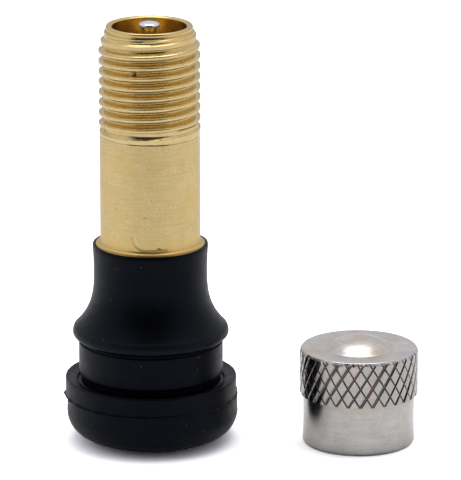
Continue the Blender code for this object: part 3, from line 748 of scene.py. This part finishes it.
def rubber_outside():
    """Down the outside from the sleeve's top to the flat foot."""
    lip_inner_z = LIP_TOP_Z - LIP_DIP
    trough_z = LIP_TOP_Z - TROUGH_DEPTH
    trough_r = NECK_R - TROUGH_INSET
    slot_r = NECK_R - SLOT_DEPTH
    shoulder = shoulder_curve()
    points = softened([(FLARE_R + BOND_GAP, SLEEVE_TOP_Z), (SLEEVE_TOP_R, SLEEVE_TOP_Z, 0.00007)])
    points += sleeve_curve(WAIST_R, WAIST_Z, SLEEVE_TOP_R, SLEEVE_TOP_Z, SLEEVE_POWER, 10)[::-1][1:]
    points += sleeve_curve(WAIST_R, WAIST_Z, *shoulder[0], WAIST_POWER, 26)[1:-1]
    points += shoulder
    corners = [
        shoulder[-1],
        (slot_r, NECK_TOP_Z + SLOT_H, 0.00003),
        (slot_r, NECK_TOP_Z, 0.00003),
        (NECK_R, NECK_TOP_Z - 0.00003, 0.00004),
        (NECK_R, NECK_BOTTOM_Z, 0.00008),
        (trough_r, NECK_BOTTOM_Z - SLOT_H, 0.00004),
        (trough_r, trough_z, 0.00010),
        (LIP_INNER_R, trough_z, 0.00008),
        (LIP_INNER_R, lip_inner_z, 0.00005),
        (BASE_R - LIP_EDGE, LIP_TOP_Z, 0.00008),
        (BASE_R, LIP_TOP_Z - LIP_EDGE * 2, 0.00006),
        (BASE_R, FLASH_Z + FLASH_T * 1.6, 0.00003),
        (FLASH_R, FLASH_Z + FLASH_T / 2),
        (FLASH_R, FLASH_Z - FLASH_T / 2),
        (BASE_R - 0.00002, FLASH_Z - FLASH_T * 1.6, 0.00003),
    ]
    points += softened(corners)[1:]
    return walked(points + base_curve(), RUBBER_STEP)


def rubber_inside():
    """Up the bore of the base and round the hollow that the brass foot fills."""
    anchor_top = FOOT_BOTTOM_Z + ANCHOR_H
    flare_bottom = SLEEVE_TOP_Z - FLARE_T
    return [
        (BASE_BORE_R + BASE_BORE_CHAMFER, 0.0),
        (BASE_BORE_R, BASE_BORE_CHAMFER),
        (BASE_BORE_R, FOOT_BOTTOM_Z - BOND_GAP),
        (ANCHOR_R + BOND_GAP, FOOT_BOTTOM_Z - BOND_GAP),
        (ANCHOR_R + BOND_GAP, anchor_top + BOND_GAP),
        (FOOT_R + BOND_GAP, anchor_top + ANCHOR_R - FOOT_R + BOND_GAP),
        (FOOT_R + BOND_GAP, flare_bottom - FLARE_UNDER_H - BOND_GAP),
        (FLARE_R + BOND_GAP, flare_bottom - BOND_GAP),
    ]


def uneven_rubber(r, z, angle):
    """A ragged fin at the parting line, a mould half that sits a little aside, and small waves."""
    if r > BASE_R + 0.00010 and abs(z - FLASH_Z) < FLASH_T:
        width = 0.50 + 0.30 * wobble(angle, 1.3) + 0.25 * wobble(angle, 4.1, (21, 34, 55, 71))
        width = max(0.05, min(1.0, width))
        lift = FLASH_LIFT * wobble(angle, 2.2, (5, 9, 17, 40))
        return BASE_R + (r - BASE_R) * width, z + lift
    if LIP_INNER_R - 0.0001 < r < BASE_R and abs(z - LIP_TOP_Z) < 0.0003:
        shift = LIP_WAVE * wobble(angle, 6.1, (9, 23, 41, 60))
        return r + shift, z + LIP_WAVE * wobble(angle, 7.7, (7, 19, 37, 58))
    if z < FLASH_Z and r > BASE_FOOT_R + 0.0002:
        share = min(1.0, (FLASH_Z - z) / 0.00006)
        rough = UNDER_WAVE * wobble(angle, 3.4 + z * 900.0, (11, 23, 37, 64))
        return r + share * (BASE_SHIFT * math.cos(angle) + rough), z
    if abs(z - SHOULDER_Z) < 0.0006 and r > SHOULDER_R - 0.0006:
        return r + SHOULDER_WAVE * wobble(angle, 8.3, (6, 14, 33, 51)), z
    return r, z


def rubber_body(look):
    bm = bmesh.new()
    spin_into(bm, rubber_outside() + rubber_inside(), RUBBER_COLUMNS, closed=True, uneven=uneven_rubber)
    return finished("moulded_rubber_body", bm, VALVE_AXIS, [look])


# Brass stem

# One thread's outline, downwards to upwards: height over the crest's middle as a share of the pitch,
# and distance from the root circle as a share of the depth
THREAD_STOPS = (
    (-0.47, 0.0), (-0.445, 0.02), (-0.42, 0.08), (-0.355, 0.333), (-0.285, 0.600),
    (-0.220, 0.850), (-0.190, 0.935), (-0.140, 0.987), (-0.06, 1.0), (0.0, 1.0),
    (0.065, 0.997), (0.095, 0.975), (0.125, 0.915), (0.200, 0.655), (0.268, 0.420),
    (0.335, 0.18), (0.385, 0.080), (0.4525, 0.020), (0.53, 0.0),
)


def thread_shape(phase):
    """Height of a thread with a worn round crest, 1 on the crest and 0 in the root."""
    for (p0, h0), (p1, h1) in zip(THREAD_STOPS, THREAD_STOPS[1:]):
        if phase <= p1:
            return h0 + (h1 - h0) * (phase - p0) / (p1 - p0)
    return 0.0


def add_thread(bm, columns, top_z, bottom_z, first_crest_z, pitch, radius_at, end_r, slot):
    """A helical surface whose rows follow the thread and end on level rings at both heights.
    end_r holds the radii of the top and the bottom ring."""
    first_turn = math.floor((bottom_z - first_crest_z) / pitch) - 2
    turns = math.ceil((top_z - bottom_z) / pitch) + 4
    phases = [stop[0] for stop in THREAD_STOPS[:-1]]
    count = len(phases)
    made = {}

    def vert(column, row):
        if column == columns:
            column, row = 0, row + count
        turn, kind = divmod(row, count)
        phase = phases[kind]
        z = first_crest_z + (first_turn + turn + phase + column / columns) * pitch
        key = (column, row)
        angle = math.tau * column / columns
        if z > top_z - THREAD_SNAP:
            key, z, radius = (column, "top"), top_z, end_r[0]
        elif z < bottom_z + THREAD_SNAP:
            key, z, radius = (column, "bottom"), bottom_z, end_r[1]
        else:
            radius = radius_at(phase, z, angle)
        if key not in made:
            made[key] = bm.verts.new((radius * math.cos(angle), radius * math.sin(angle), z))
        return made[key]

    for column in range(columns):
        for row in range(turns * count):
            corners = [vert(column + right, row + up) for right, up in ((0, 0), (1, 0), (1, 1), (0, 1))]
            distinct = [v for i, v in enumerate(corners) if v is not corners[i - 1]]
            if len(set(distinct)) >= 3:
                face = bm.faces.new(distinct)
                face.material_index = slot


# Nicks and pits (degrees round the axis, height, depth, reach along the round, reach up)
NICKS = (
    (252.3, 0.02940, 0.00028, 0.00010, 0.00010),
    (200.5, 0.02450, 0.00030, 0.00015, 0.00013),
    (192.0, 0.02385, 0.00008, 0.00009, 0.00008),
    (206.0, 0.02462, 0.00026, 0.00008, 0.00020),
    (312.0, 0.02725, 0.00006, 0.00010, 0.00008),
    (40.0, 0.02640, 0.00010, 0.00012, 0.00010),
    (118.0, 0.03010, 0.00009, 0.00010, 0.00008),
    (265.2, 0.01843, 0.00004, 0.00009, 0.00006),
    (308.5, 0.01696, 0.00005, 0.00010, 0.00006),
    (240.1, 0.01970, 0.00004, 0.00009, 0.00006),
)

# The tool mark low on the front, as points (degrees round the axis, height)
TOOL_MARK = (
    (250.5, 0.01690), (252.3, 0.01652), (254.6, 0.01614), (260.4, 0.01587),
    (270.7, 0.01587), (282.0, 0.01589), (290.9, 0.01587),
)
TOOL_MARK_DEPTH = 0.00005
TOOL_MARK_W = 0.00006

# Fine turned lines under the thread (height over the thread's end, depth or minus height, half width)
END_LINES = ((0.00016, 0.000030, 0.000045), (0.00036, -0.000020, 0.000070))


def nick_depth(angle, z, radius):
    depth = 0.0
    for degrees, at_z, deep, wide, tall in NICKS:
        turn = (angle - math.radians(degrees) + math.pi) % math.tau - math.pi
        away = (turn * radius / wide) ** 2 + ((z - at_z) / tall) ** 2
        if away < 4.0:
            depth += deep * math.exp(-away)
    return depth


def mark_depth(angle, z):
    """The tool mark's groove, deepest on its line."""
    here = Vector((angle * STEM_R, z))
    nearest = 1.0
    for (a0, z0), (a1, z1) in zip(TOOL_MARK, TOOL_MARK[1:]):
        start = Vector((math.radians(a0) * STEM_R, z0))
        line = Vector((math.radians(a1) * STEM_R, z1)) - start
        t = max(0.0, min(1.0, (here - start).dot(line) / line.length_squared))
        nearest = min(nearest, (here - start - line * t).length)
    return TOOL_MARK_DEPTH * math.exp(-((nearest / TOOL_MARK_W) ** 2))


def clamped(value):
    return max(0.0, min(1.0, value))


def lower_of(a, b, blend):
    """The lower of two values, with the corner where they cross rounded off."""
    near = max(0.0, blend - abs(a - b)) / blend
    return min(a, b) - near * near * blend / 4


def outer_thread_radius(phase, z, angle):
    """A short cone leads from the pilot to the first crests, which are cut low and flat, and the
    thread fades into the plain stem at the bottom."""
    lead = PILOT_R + (THREAD_TOP_Z - z) * THREAD_LEAD_SLOPE
    crest_depth = STEM_TOP_Z - z + phase * THREAD_PITCH
    crest = THREAD_FIRST_R + (crest_depth - THREAD_FIRST_DEPTH) * THREAD_FIRST_SLOPE
    root_depth = crest_depth - math.copysign(THREAD_PITCH / 2, phase)
    from_shallow = root_depth - THREAD_FIRST_DEPTH - THREAD_SHALLOW_DEPTH
    shallow = max(0.0, 1.0 - (from_shallow / THREAD_SHALLOW_REACH) ** 2)
    root = min(THREAD_ROOT_R + THREAD_FIRST_ROOT * shallow, lead)
    early = clamped(1.0 - (crest_depth - THREAD_FIRST_DEPTH) / THREAD_FIRST_L)
    cut = THREAD_FIRST_CUT * early
    leaning = phase + THREAD_FIRST_SHIFT * early * clamped(phase * 10)
    full = root + (THREAD_R - root) * max(0.0, thread_shape(leaning) - cut) / (1.0 - cut)
    above_end = z - THREAD_BOTTOM_Z
    above_cone = above_end - THREAD_FADE_Z - THREAD_FADE_H / 2
    cone = STEM_R - min(THREAD_END_CONE, above_cone) * THREAD_END_SLOPE
    full = max(full, cone - THREAD_END_DROP * max(0.0, above_cone - THREAD_END_L))
    radius = STEM_R + (full - STEM_R) * clamped((above_end - THREAD_FADE_Z) / THREAD_FADE_H)
    radius = lower_of(radius, lower_of(lead, crest, THREAD_FIRST_BLEND), THREAD_LEAD_BLEND)
    for at, deep, wide in END_LINES:
        radius -= deep * math.exp(-(((above_end - at) / wide) ** 2))
    turn = math.floor(z / THREAD_PITCH - angle / math.tau)
    worn = THREAD_WEAR * wobble(angle, 5.5 + turn, (4, 11, 27, 43)) * thread_shape(phase)
    return radius - abs(worn) - nick_depth(angle, z, radius)


def stem_outline():
    """Down the outside from the thread's end, up the bore, and over the rim to the thread, as
    three stretches."""
    flare_w = FLARE_R - STEM_R
    flare_top = SLEEVE_TOP_Z + FLARE_EDGE_H
    flare = arc(FLARE_R, flare_top + FLARE_H, flare_w, FLARE_H, 180, 270, 12)
    flare[-1] = (FLARE_R - FLARE_EDGE_W, flare_top)
    outside = walked([(STEM_R, THREAD_BOTTOM_Z), flare[0]], STEM_STEP) + flare[1:]
    outside += [(FLARE_R - 0.00001, flare_top - 0.00002), (FLARE_R, flare_top - FLARE_EDGE_H)]
    inside = [
        (FLARE_R, SLEEVE_TOP_Z - FLARE_T),
        (FOOT_R, SLEEVE_TOP_Z - FLARE_T - FLARE_UNDER_H),
        (FOOT_R, FOOT_BOTTOM_Z + ANCHOR_H + ANCHOR_R - FOOT_R),
        (ANCHOR_R, FOOT_BOTTOM_Z + ANCHOR_H),
        (ANCHOR_R, FOOT_BOTTOM_Z),
        (BORE_R, FOOT_BOTTOM_Z),
    ]
    step_z = STEM_TOP_Z - COUNTERBORE_L
    bore = [
        (BORE_R, SEAT_BOTTOM_Z, 0.00005),
        (SEAT_CONE_R, SEAT_TOP_Z, 0.00003),
        (CORE_THREAD_R, SEAT_TOP_Z + CORE_THREAD_R - SEAT_CONE_R, 0.00003),
        (CORE_THREAD_R, step_z - (COUNTERBORE_R - CORE_THREAD_R), 0.00003),
        (COUNTERBORE_R, step_z, 0.00003),
    ]
    mouth_z = STEM_TOP_Z - MOUTH_CHAMFER_H
    mouth = [
        (COUNTERBORE_R, mouth_z - (MOUTH_R - COUNTERBORE_R), 0.00003),
        (MOUTH_R, mouth_z, 0.00003),
        (MOUTH_R + MOUTH_CHAMFER_W, STEM_TOP_Z, 0.00004),
    ]
    rim = arc(PILOT_R - RIM_ROUND, STEM_TOP_Z - RIM_ROUND, RIM_ROUND, RIM_ROUND, 90, 0, 10)
    return outside, inside + softened(bore), softened(mouth) + rim + [(PILOT_R, THREAD_TOP_Z)]


def uneven_stem(r, z, angle):
    """Faint lathe waves and the tool mark on the plain stem, and a hand-worn rim."""
    if SLEEVE_TOP_Z + FLARE_EDGE_H < z < THREAD_BOTTOM_Z - 0.0001 and STEM_R - 0.0001 < r < STEM_R + 0.0002:
        wave = LATHE_WAVE * wobble(z * 9000.0, 2.0, (1, 2, 3, 5, 7))
        return r + wave - mark_depth(angle, z) - nick_depth(angle, z, r), z
    if z > STEM_TOP_Z - 0.0003 and r > MOUTH_R + 0.00002:
        return r, z - RIM_WEAR * (1 + wobble(angle, 3.3, (3, 7, 12, 31)))
    return r, z


def brass_stem(plain, cut, bore):
    """The plain surfaces are turned, and the thread is sewn into the gap between them."""
    outside, inside, rim = stem_outline()
    slots = [0] * len(outside) + [2] * len(inside) + [1] * len(rim)
    bm = bmesh.new()
    spin_into(bm, outside + inside + rim, STEM_COLUMNS, closed=False, uneven=uneven_stem, slots=slots)
    add_thread(
        bm, STEM_COLUMNS, THREAD_TOP_Z, THREAD_BOTTOM_Z, STEM_TOP_Z - THREAD_CREST_DEPTH,
        THREAD_PITCH, outer_thread_radius, end_r=(PILOT_R, STEM_R), slot=1,
    )
    return finished("turned_brass_stem", bm, VALVE_AXIS, [plain, cut, bore])


# Core


def plug_outline():
    """From the foot up the inside, over the head and down to the thread's upper end."""
    lip_r = BARREL_NECK_R + RUN_GAP
    pocket_r = SWIVEL_R + RUN_GAP
    corners = [
        (PLUG_ROOT_R, PLUG_BOTTOM_Z),
        (lip_r, PLUG_BOTTOM_Z, 0.00003),
        (lip_r, PLUG_LIP_Z),
        (pocket_r, PLUG_LIP_Z),
        (pocket_r, PLUG_POCKET_TOP_Z),
        (PLUG_BORE_R, PLUG_POCKET_TOP_Z + pocket_r - PLUG_BORE_R),
        (PLUG_BORE_R, PLUG_TOP_Z - PLUG_BRIDGE_T),
        (PIN_HOLE_R, PLUG_TOP_Z - PLUG_BRIDGE_T),
        (PIN_HOLE_R, PLUG_TOP_Z, 0.00005),
        (PLUG_HEAD_R, PLUG_TOP_Z, PLUG_EDGE),
        (PLUG_HEAD_R, PLUG_SHOULDER_Z),
        (PLUG_ROOT_R, PLUG_SHOULDER_Z),
    ]
    return softened(corners)


def plug_thread_radius(phase, z, angle):
    """The core thread, which fades at both of its ends."""
    grown = clamped(min(PLUG_SHOULDER_Z - z, z - PLUG_BOTTOM_Z) / PLUG_FADE_H)
    return PLUG_ROOT_R + (PLUG_R - PLUG_ROOT_R) * thread_shape(phase) * grown


def core_plug(look):
    """Threaded plug whose head is milled flat on two sides, which leaves a bridge for the pin."""
    bm = bmesh.new()
    spin_into(bm, plug_outline(), CORE_COLUMNS, closed=False)
    add_thread(
        bm, CORE_COLUMNS, PLUG_SHOULDER_Z, PLUG_BOTTOM_Z, PLUG_SHOULDER_Z,
        CORE_THREAD_PITCH, plug_thread_radius, end_r=(PLUG_ROOT_R, PLUG_ROOT_R), slot=0,
    )
    plug = finished("threaded_core_plug", bm, VALVE_AXIS, [look])
    cutter_mesh = bmesh.new()
    for side in (-1, 1):
        box = bmesh.ops.create_cube(cutter_mesh, size=1.0)["verts"]
        for vert in box:
            vert.co.x *= PLUG_CUTTER_W
            vert.co.y = side * (PLUG_BRIDGE_HALF_W + PLUG_CUTTER_D / 2 + vert.co.y * PLUG_CUTTER_D)
            vert.co.z = PLUG_SHOULDER_Z + PLUG_CUTTER_H / 2 + vert.co.z * PLUG_CUTTER_H
    cutter = finished("flats_cutter", cutter_mesh, VALVE_AXIS, [look])
    cut = plug.modifiers.new("Flats", "BOOLEAN")
    cut.operation = "DIFFERENCE"
    cut.solver = "EXACT"
    cut.object = cutter
    bpy.context.view_layer.update()
    made = bpy.data.meshes.new_from_object(plug.evaluated_get(bpy.context.evaluated_depsgraph_get()))
    plug.modifiers.clear()
    plug.data = made
    bpy.data.objects.remove(cutter, do_unlink=True)
    made.shade_smooth()
    made.set_sharp_from_angle(angle=math.radians(SHARP_DEG))
    return plug


def core_pin(steel, brass):
    """Pin with a low mushroom head, a dark brass ring under it, a collar for the spring and a foot."""
    head_bottom = PIN_TOP_Z - PIN_HEAD_H
    taper_bottom = head_bottom - PIN_TAPER_H
    corners = [
        (0.0, PIN_TOP_Z),
        (PIN_HEAD_R * 0.55, PIN_TOP_Z - PIN_HEAD_DOME * 0.2, 0.00015),
        (PIN_HEAD_R - 0.00010, PIN_TOP_Z - PIN_HEAD_DOME, 0.00008),
        (PIN_HEAD_R, PIN_TOP_Z - PIN_HEAD_DOME - 0.00010, 0.00006),
        (PIN_HEAD_R, head_bottom + 0.00004, 0.00005),
        (PIN_HEAD_R - 0.00006, head_bottom, 0.00003),
        (PIN_R, taper_bottom, 0.00003),
        (PIN_R - PIN_NECK_T, taper_bottom - 0.00003),
        (PIN_R - PIN_NECK_T, taper_bottom - PIN_RING_H),
        (PIN_R, taper_bottom - PIN_RING_H - 0.00003),
        (PIN_R, PIN_COLLAR_Z + PIN_COLLAR_H),
        (PIN_COLLAR_R, PIN_COLLAR_Z + PIN_COLLAR_H, 0.00005),
        (PIN_COLLAR_R, PIN_COLLAR_Z, 0.00005),
        (PIN_LOWER_R, PIN_COLLAR_Z),
        (PIN_LOWER_R, PIN_FOOT_TOP_Z),
        (PIN_FOOT_R, PIN_FOOT_TOP_Z, 0.00005),
        (PIN_FOOT_R, PIN_FOOT_TOP_Z - PIN_FOOT_H, 0.0001),
        (0.0, PIN_FOOT_TOP_Z - PIN_FOOT_H),
    ]
    bm = bmesh.new()
    spin_into(bm, softened(corners), CORE_COLUMNS, closed=False)
    for face in bm.faces:
        if taper_bottom - PIN_RING_H < face.calc_center_median().z < head_bottom + 0.00004:
            face.material_index = 1
    return finished("mushroom_head_pin", bm, VALVE_AXIS, [steel, brass])


def spring_height(turns):
    """Closed turns at both ends, and even turns between them."""
    bottom = SPRING_BOTTOM_Z + SPRING_WIRE_R
    top = SPRING_TOP_Z - SPRING_WIRE_R
    closed_rise = SPRING_END_TURNS * 2.6 * SPRING_WIRE_R
    if turns < SPRING_END_TURNS:
        return bottom + closed_rise * turns / SPRING_END_TURNS
    if turns > SPRING_TURNS - SPRING_END_TURNS:
        return top - closed_rise * (SPRING_TURNS - turns) / SPRING_END_TURNS
    share = (turns - SPRING_END_TURNS) / (SPRING_TURNS - 2 * SPRING_END_TURNS)
    return bottom + closed_rise + (top - bottom - 2 * closed_rise) * share


def core_spring(look):
    """A round wire coil."""
    bm = bmesh.new()
    rings = []
    count = SPRING_TURNS * SPRING_POINTS_A_TURN
    for i in range(count + 1):
        turns = i / SPRING_POINTS_A_TURN
        angle = math.tau * turns
        middle = Vector((SPRING_R * math.cos(angle), SPRING_R * math.sin(angle), spring_height(turns)))
        outward = Vector((math.cos(angle), math.sin(angle), 0.0))
        ring = []
        for k in range(SPRING_SIDES):
            side = math.tau * k / SPRING_SIDES
            offset = outward * math.cos(side) + Vector((0.0, 0.0, math.sin(side)))
            ring.append(bm.verts.new(middle + offset * SPRING_WIRE_R))
        rings.append(ring)
    for first, second in zip(rings, rings[1:]):
        for k in range(SPRING_SIDES):
            j = (k + 1) % SPRING_SIDES
            bm.faces.new((first[k], first[j], second[j], second[k]))
    bm.faces.new(rings[0])
    bm.faces.new(rings[-1])
    return finished("coiled_spring", bm, VALVE_AXIS, [look])


# Dust cap

# Points of the knurl's grid as shares of a diamond's side, closest at the grooves
KNURL_BREAKS = (
    0.0, 0.015, 0.035, 0.055, 0.08, 0.11, 0.15, 0.19, 0.23,
    0.32, 0.50, 0.70, 0.88, 0.92, 0.945, 0.965, 0.985, 1.0,
)


def groove_depth(away, line, leaning, first_side):
    """Depth of one knurl groove at a distance across it. The leaning set is wider and less even,
    and some of its lines have a fine second line beside them."""
    vary = 0.5 + 0.5 * math.sin(line * 2.39 + (1.3 if leaning else 0.2))
    if leaning:
        flat, wide, deep = 0.035, 0.110 + 0.045 * vary, 0.85 + 0.15 * vary
    else:
        flat, wide, deep = 0.015, 0.070 + 0.020 * vary, 0.70 + 0.20 * vary
    if away <= flat:
        return deep
    if away < wide:
        return deep * (wide - away) / (wide - flat)
    if leaning and first_side and vary > 0.35:
        return 0.50 * max(0.0, 1.0 - abs(away - 0.21) / 0.04)
    return 0.0


def add_knurl(bm, bottom_z, top_z):
    """Flat-topped diamonds between two sets of crossing grooves, cut off level at both edges."""
    half_h = KNURL_DIAMOND_H / 2
    half_angle = math.pi / KNURL_COUNT
    last = len(KNURL_BREAKS) - 1
    lines = 2 * KNURL_COUNT

    def vert(column, row, s, t):
        deep = max(
            groove_depth(t, (column - row + 1) % lines, True, True),
            groove_depth(1 - t, (column - row - 1) % lines, True, False),
            groove_depth(s, (column + row - 1) % lines, False, True),
            groove_depth(1 - s, (column + row + 1) % lines, False, False),
        )
        radius = CAP_R - KNURL_DEPTH * deep
        angle = (column + s - t) * half_angle
        z = bottom_z + (row - 1 + s + t) * half_h
        return bm.verts.new((radius * math.cos(angle), radius * math.sin(angle), z))

    for row in range(math.ceil((top_z - bottom_z) / half_h) + 1):
        for column in range(row % 2, lines, 2):
            grid = [[vert(column, row, s, t) for t in KNURL_BREAKS] for s in KNURL_BREAKS]
            for a in range(last):
                for b in range(last):
                    bm.faces.new((grid[a][b], grid[a + 1][b], grid[a + 1][b + 1], grid[a][b + 1]))
    bmesh.ops.remove_doubles(bm, verts=bm.verts, dist=MERGE)
    for height, side in ((bottom_z, -1.0), (top_z, 1.0)):
        bmesh.ops.bisect_plane(
            bm,
            geom=bm.verts[:] + bm.edges[:] + bm.faces[:],
            dist=MERGE,
            plane_co=(0.0, 0.0, height),
            plane_no=(0.0, 0.0, side),
            clear_outer=True,
        )
    for face in bm.faces:
        face.material_index = 1


def cap_upper_outline():
    """A dome cut from a ball, a soft shallow moat, the flat top and the edge over the knurl."""
    height = CAP_DOME_H + CAP_MOAT_T
    ball_r = (CAP_DOME_R**2 + height**2) / (2 * height)
    edge_deg = math.degrees(math.acos(CAP_DOME_R / ball_r))
    dome = arc(0.0, CAP_TOP_Z + CAP_DOME_H - ball_r, ball_r, ball_r, 90, edge_deg + 2, 28)
    dome[0] = (0.0, CAP_TOP_Z + CAP_DOME_H)
    moat = [
        dome[-1],
        (CAP_DOME_R + 0.00003, CAP_TOP_Z - CAP_MOAT_T, 0.00003),
        (CAP_DOME_R + CAP_MOAT_W, CAP_TOP_Z, 0.00007),
        (CAP_R - CAP_CHAMFER_W * 1.4, CAP_TOP_Z),
    ]
    return dome + softened(moat)[1:] + [(CAP_R - CAP_CHAMFER_W, CAP_TOP_Z - CAP_EDGE_DROP)]


def cap_shell(top_look, knurl_look, skirt_look):
    """Domed top and skirt are turned, and the knurled band is sewn in between them."""
    knurl_top_z = CAP_TOP_Z - CAP_CHAMFER_H
    skirt_h = KNURL_BOTTOM_Z - KNURL_STEP_H
    corners = [
        (CAP_SKIRT_R, skirt_h),
        (CAP_SKIRT_R - CAP_SKIRT_WAIST, skirt_h / 2, 0.0005),
        (CAP_SKIRT_R, 0.0002, 0.00008),
        (CAP_SKIRT_R - 0.00015, 0.0, 0.00006),
        (CAP_BORE_R + 0.00014, 0.0, 0.00004),
        (CAP_BORE_R, 0.00014, 0.00004),
        (CAP_BORE_R, CAP_ROOF_Z, 0.0001),
        (0.0, CAP_ROOF_Z),
    ]
    lower = walked(softened(corners), CAP_STEP)
    bm = bmesh.new()
    add_knurl(bm, KNURL_BOTTOM_Z, knurl_top_z)
    spin_into(bm, cap_upper_outline(), CAP_COLUMNS, closed=False)
    spin_into(bm, lower, CAP_COLUMNS, closed=False, slots=[2] * len(lower))
    bmesh.ops.remove_doubles(bm, verts=bm.verts, dist=MERGE)
    zip_rings(bm, open_ring(bm, knurl_top_z), open_ring(bm, CAP_TOP_Z - CAP_EDGE_DROP), 0)
    zip_rings(bm, open_ring(bm, KNURL_BOTTOM_Z), open_ring(bm, skirt_h), 2)
    looks = [top_look, knurl_look, skirt_look]
    return finished("domed_knurled_cap", bm, CAP_AXIS, looks, CAP_SHARP_DEG)


# Studio


def floor():
    """White for the camera and in reflections, as an overexposed table is, with the object's shadow."""
    bpy.ops.mesh.primitive_plane_add(size=FLOOR_SIZE, location=(0.0, 0.0, 0.0))
    made = bpy.context.object
    made.name = "floor"
    look = Look("white_floor", 1.0)
    path = look.node("ShaderNodeLightPath")
    mirrored = look.mix(path.outputs["Is Glossy Ray"], FLOOR_COLOR, FLOOR_MIRRORED)
    seen = look.mix(path.outputs["Is Camera Ray"], mirrored, FLOOR_SEEN)
    matte = look.node("ShaderNodeBsdfDiffuse", {"Color": seen})
    look.link(matte.outputs[0], look.tree.nodes["Material Output"].inputs["Surface"])
    look.tree.nodes.remove(look.shader)
    made.data.materials.append(look.made)


def world():
    """White for the camera. As light, a bright tent that is dark on the camera's side."""
    made = bpy.data.worlds.new("studio")
    bpy.context.scene.world = made
    made.use_nodes = True
    sky = Wiring(made.node_tree)

    def eased(source, reach):
        return sky.remap(source, *reach, kind="SMOOTHSTEP")

    x, y, z = sky.split(sky.node("ShaderNodeTexCoord").outputs["Generated"])
    level = sky.math("MAXIMUM", sky.length(x, y), 0.001)
    front = sky.math("DIVIDE", sky.math("MULTIPLY", y, -1.0), level)
    dark = sky.math("MULTIPLY", eased(z, DARK_FROM), sky.math("SUBTRACT", 1.0, eased(z, DARK_TO)))
    dark = sky.math("MULTIPLY", dark, eased(front, DARK_SIDE))
    light = sky.ramp(z, *((position, (grey, grey, grey * TENT_BLUE)) for position, grey in TENT))
    tent = sky.tree.nodes["Background"]
    sky.link(sky.mix(dark, light, DARK_COLOR), tent.inputs["Color"])
    tent.inputs["Strength"].default_value = TENT_STRENGTH
    white = sky.node("ShaderNodeBackground", {"Color": (1.0, 1.0, 1.0, 1.0)}).outputs[0]
    seen = sky.node("ShaderNodeLightPath").outputs["Is Camera Ray"]
    pick = sky.node("ShaderNodeMixShader", {0: seen, 1: tent.outputs[0], 2: white})
    sky.link(pick.outputs[0], sky.tree.nodes["World Output"].inputs["Surface"])


def softbox():
    """One soft lamp overhead, a little behind the object."""
    data = bpy.data.lights.new("top_softbox", "AREA")
    data.shape = "RECTANGLE"
    data.size, data.size_y = SOFTBOX_SIZE
    data.energy = SOFTBOX_POWER
    lamp = bpy.data.objects.new("top_softbox", data)
    lamp.location = SOFTBOX_AT
    aim = Vector(SOFTBOX_TARGET) - Vector(SOFTBOX_AT)
    lamp.rotation_euler = aim.to_track_quat("-Z", "Y").to_euler()
    bpy.context.scene.collection.objects.link(lamp)


def camera():
    data = bpy.data.cameras.new("camera")
    data.lens = CAMERA_LENS
    data.sensor_width = CAMERA_SENSOR
    made = bpy.data.objects.new("camera", data)
    made.location = (VALVE_AXIS.x + CAMERA_SIDE, -CAMERA_BACK, CAMERA_HEIGHT)
    made.rotation_euler = (math.radians(90 - CAMERA_PITCH_DEG), 0.0, 0.0)
    bpy.context.scene.collection.objects.link(made)
    bpy.context.scene.camera = made


# The dressed object

rubber = black_rubber()
plain = plain_brass()
cut = cut_brass()
bore = turned_metal("bore_brass", BORE_TONES, (0.16, 0.26), 0.0000012).made
steel = turned_metal("plated_steel", STEEL_TONES, (0.12, 0.20), 0.0000008).made
wire = turned_metal("spring_wire", WIRE_TONES, (0.25, 0.35), 0.0000008).made
seal = soft_seal()
white_packing = packing()

body = rubber_body(rubber)
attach(body, "valve")
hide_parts("rubber_body")

stem = brass_stem(plain, cut, bore)
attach(stem, "valve")
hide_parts("brass_stem")

plug = core_plug(bore)
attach(plug, "core_plug")
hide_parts("core_plug")

pin = core_pin(steel, turned_metal("pin_brass", RING_TONES, (0.20, 0.30), 0.0000012).made)
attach(pin, "core_pin")
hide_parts("core_pin")

spring = core_spring(wire)
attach(spring, "core_barrel")
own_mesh(spring)
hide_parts("core_spring")

cap = cap_shell(nickel_top(), nickel_knurl(), nickel_skirt())
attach(cap, "valve")
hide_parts("cap_shell")

CARRIED_OVER = {
    "core_barrel": bore,
    "plunger_cup": bore,
    "core_washer": white_packing,
    "plunger_seal": seal,
    "cap_gasket": seal,
}
for node, look in CARRIED_OVER.items():
    mesh = frame["nodes"][node].data
    mesh.materials.clear()
    mesh.materials.append(look)

floor()
world()
softbox()
camera()

bpy.context.scene.view_settings.view_transform = "Standard"
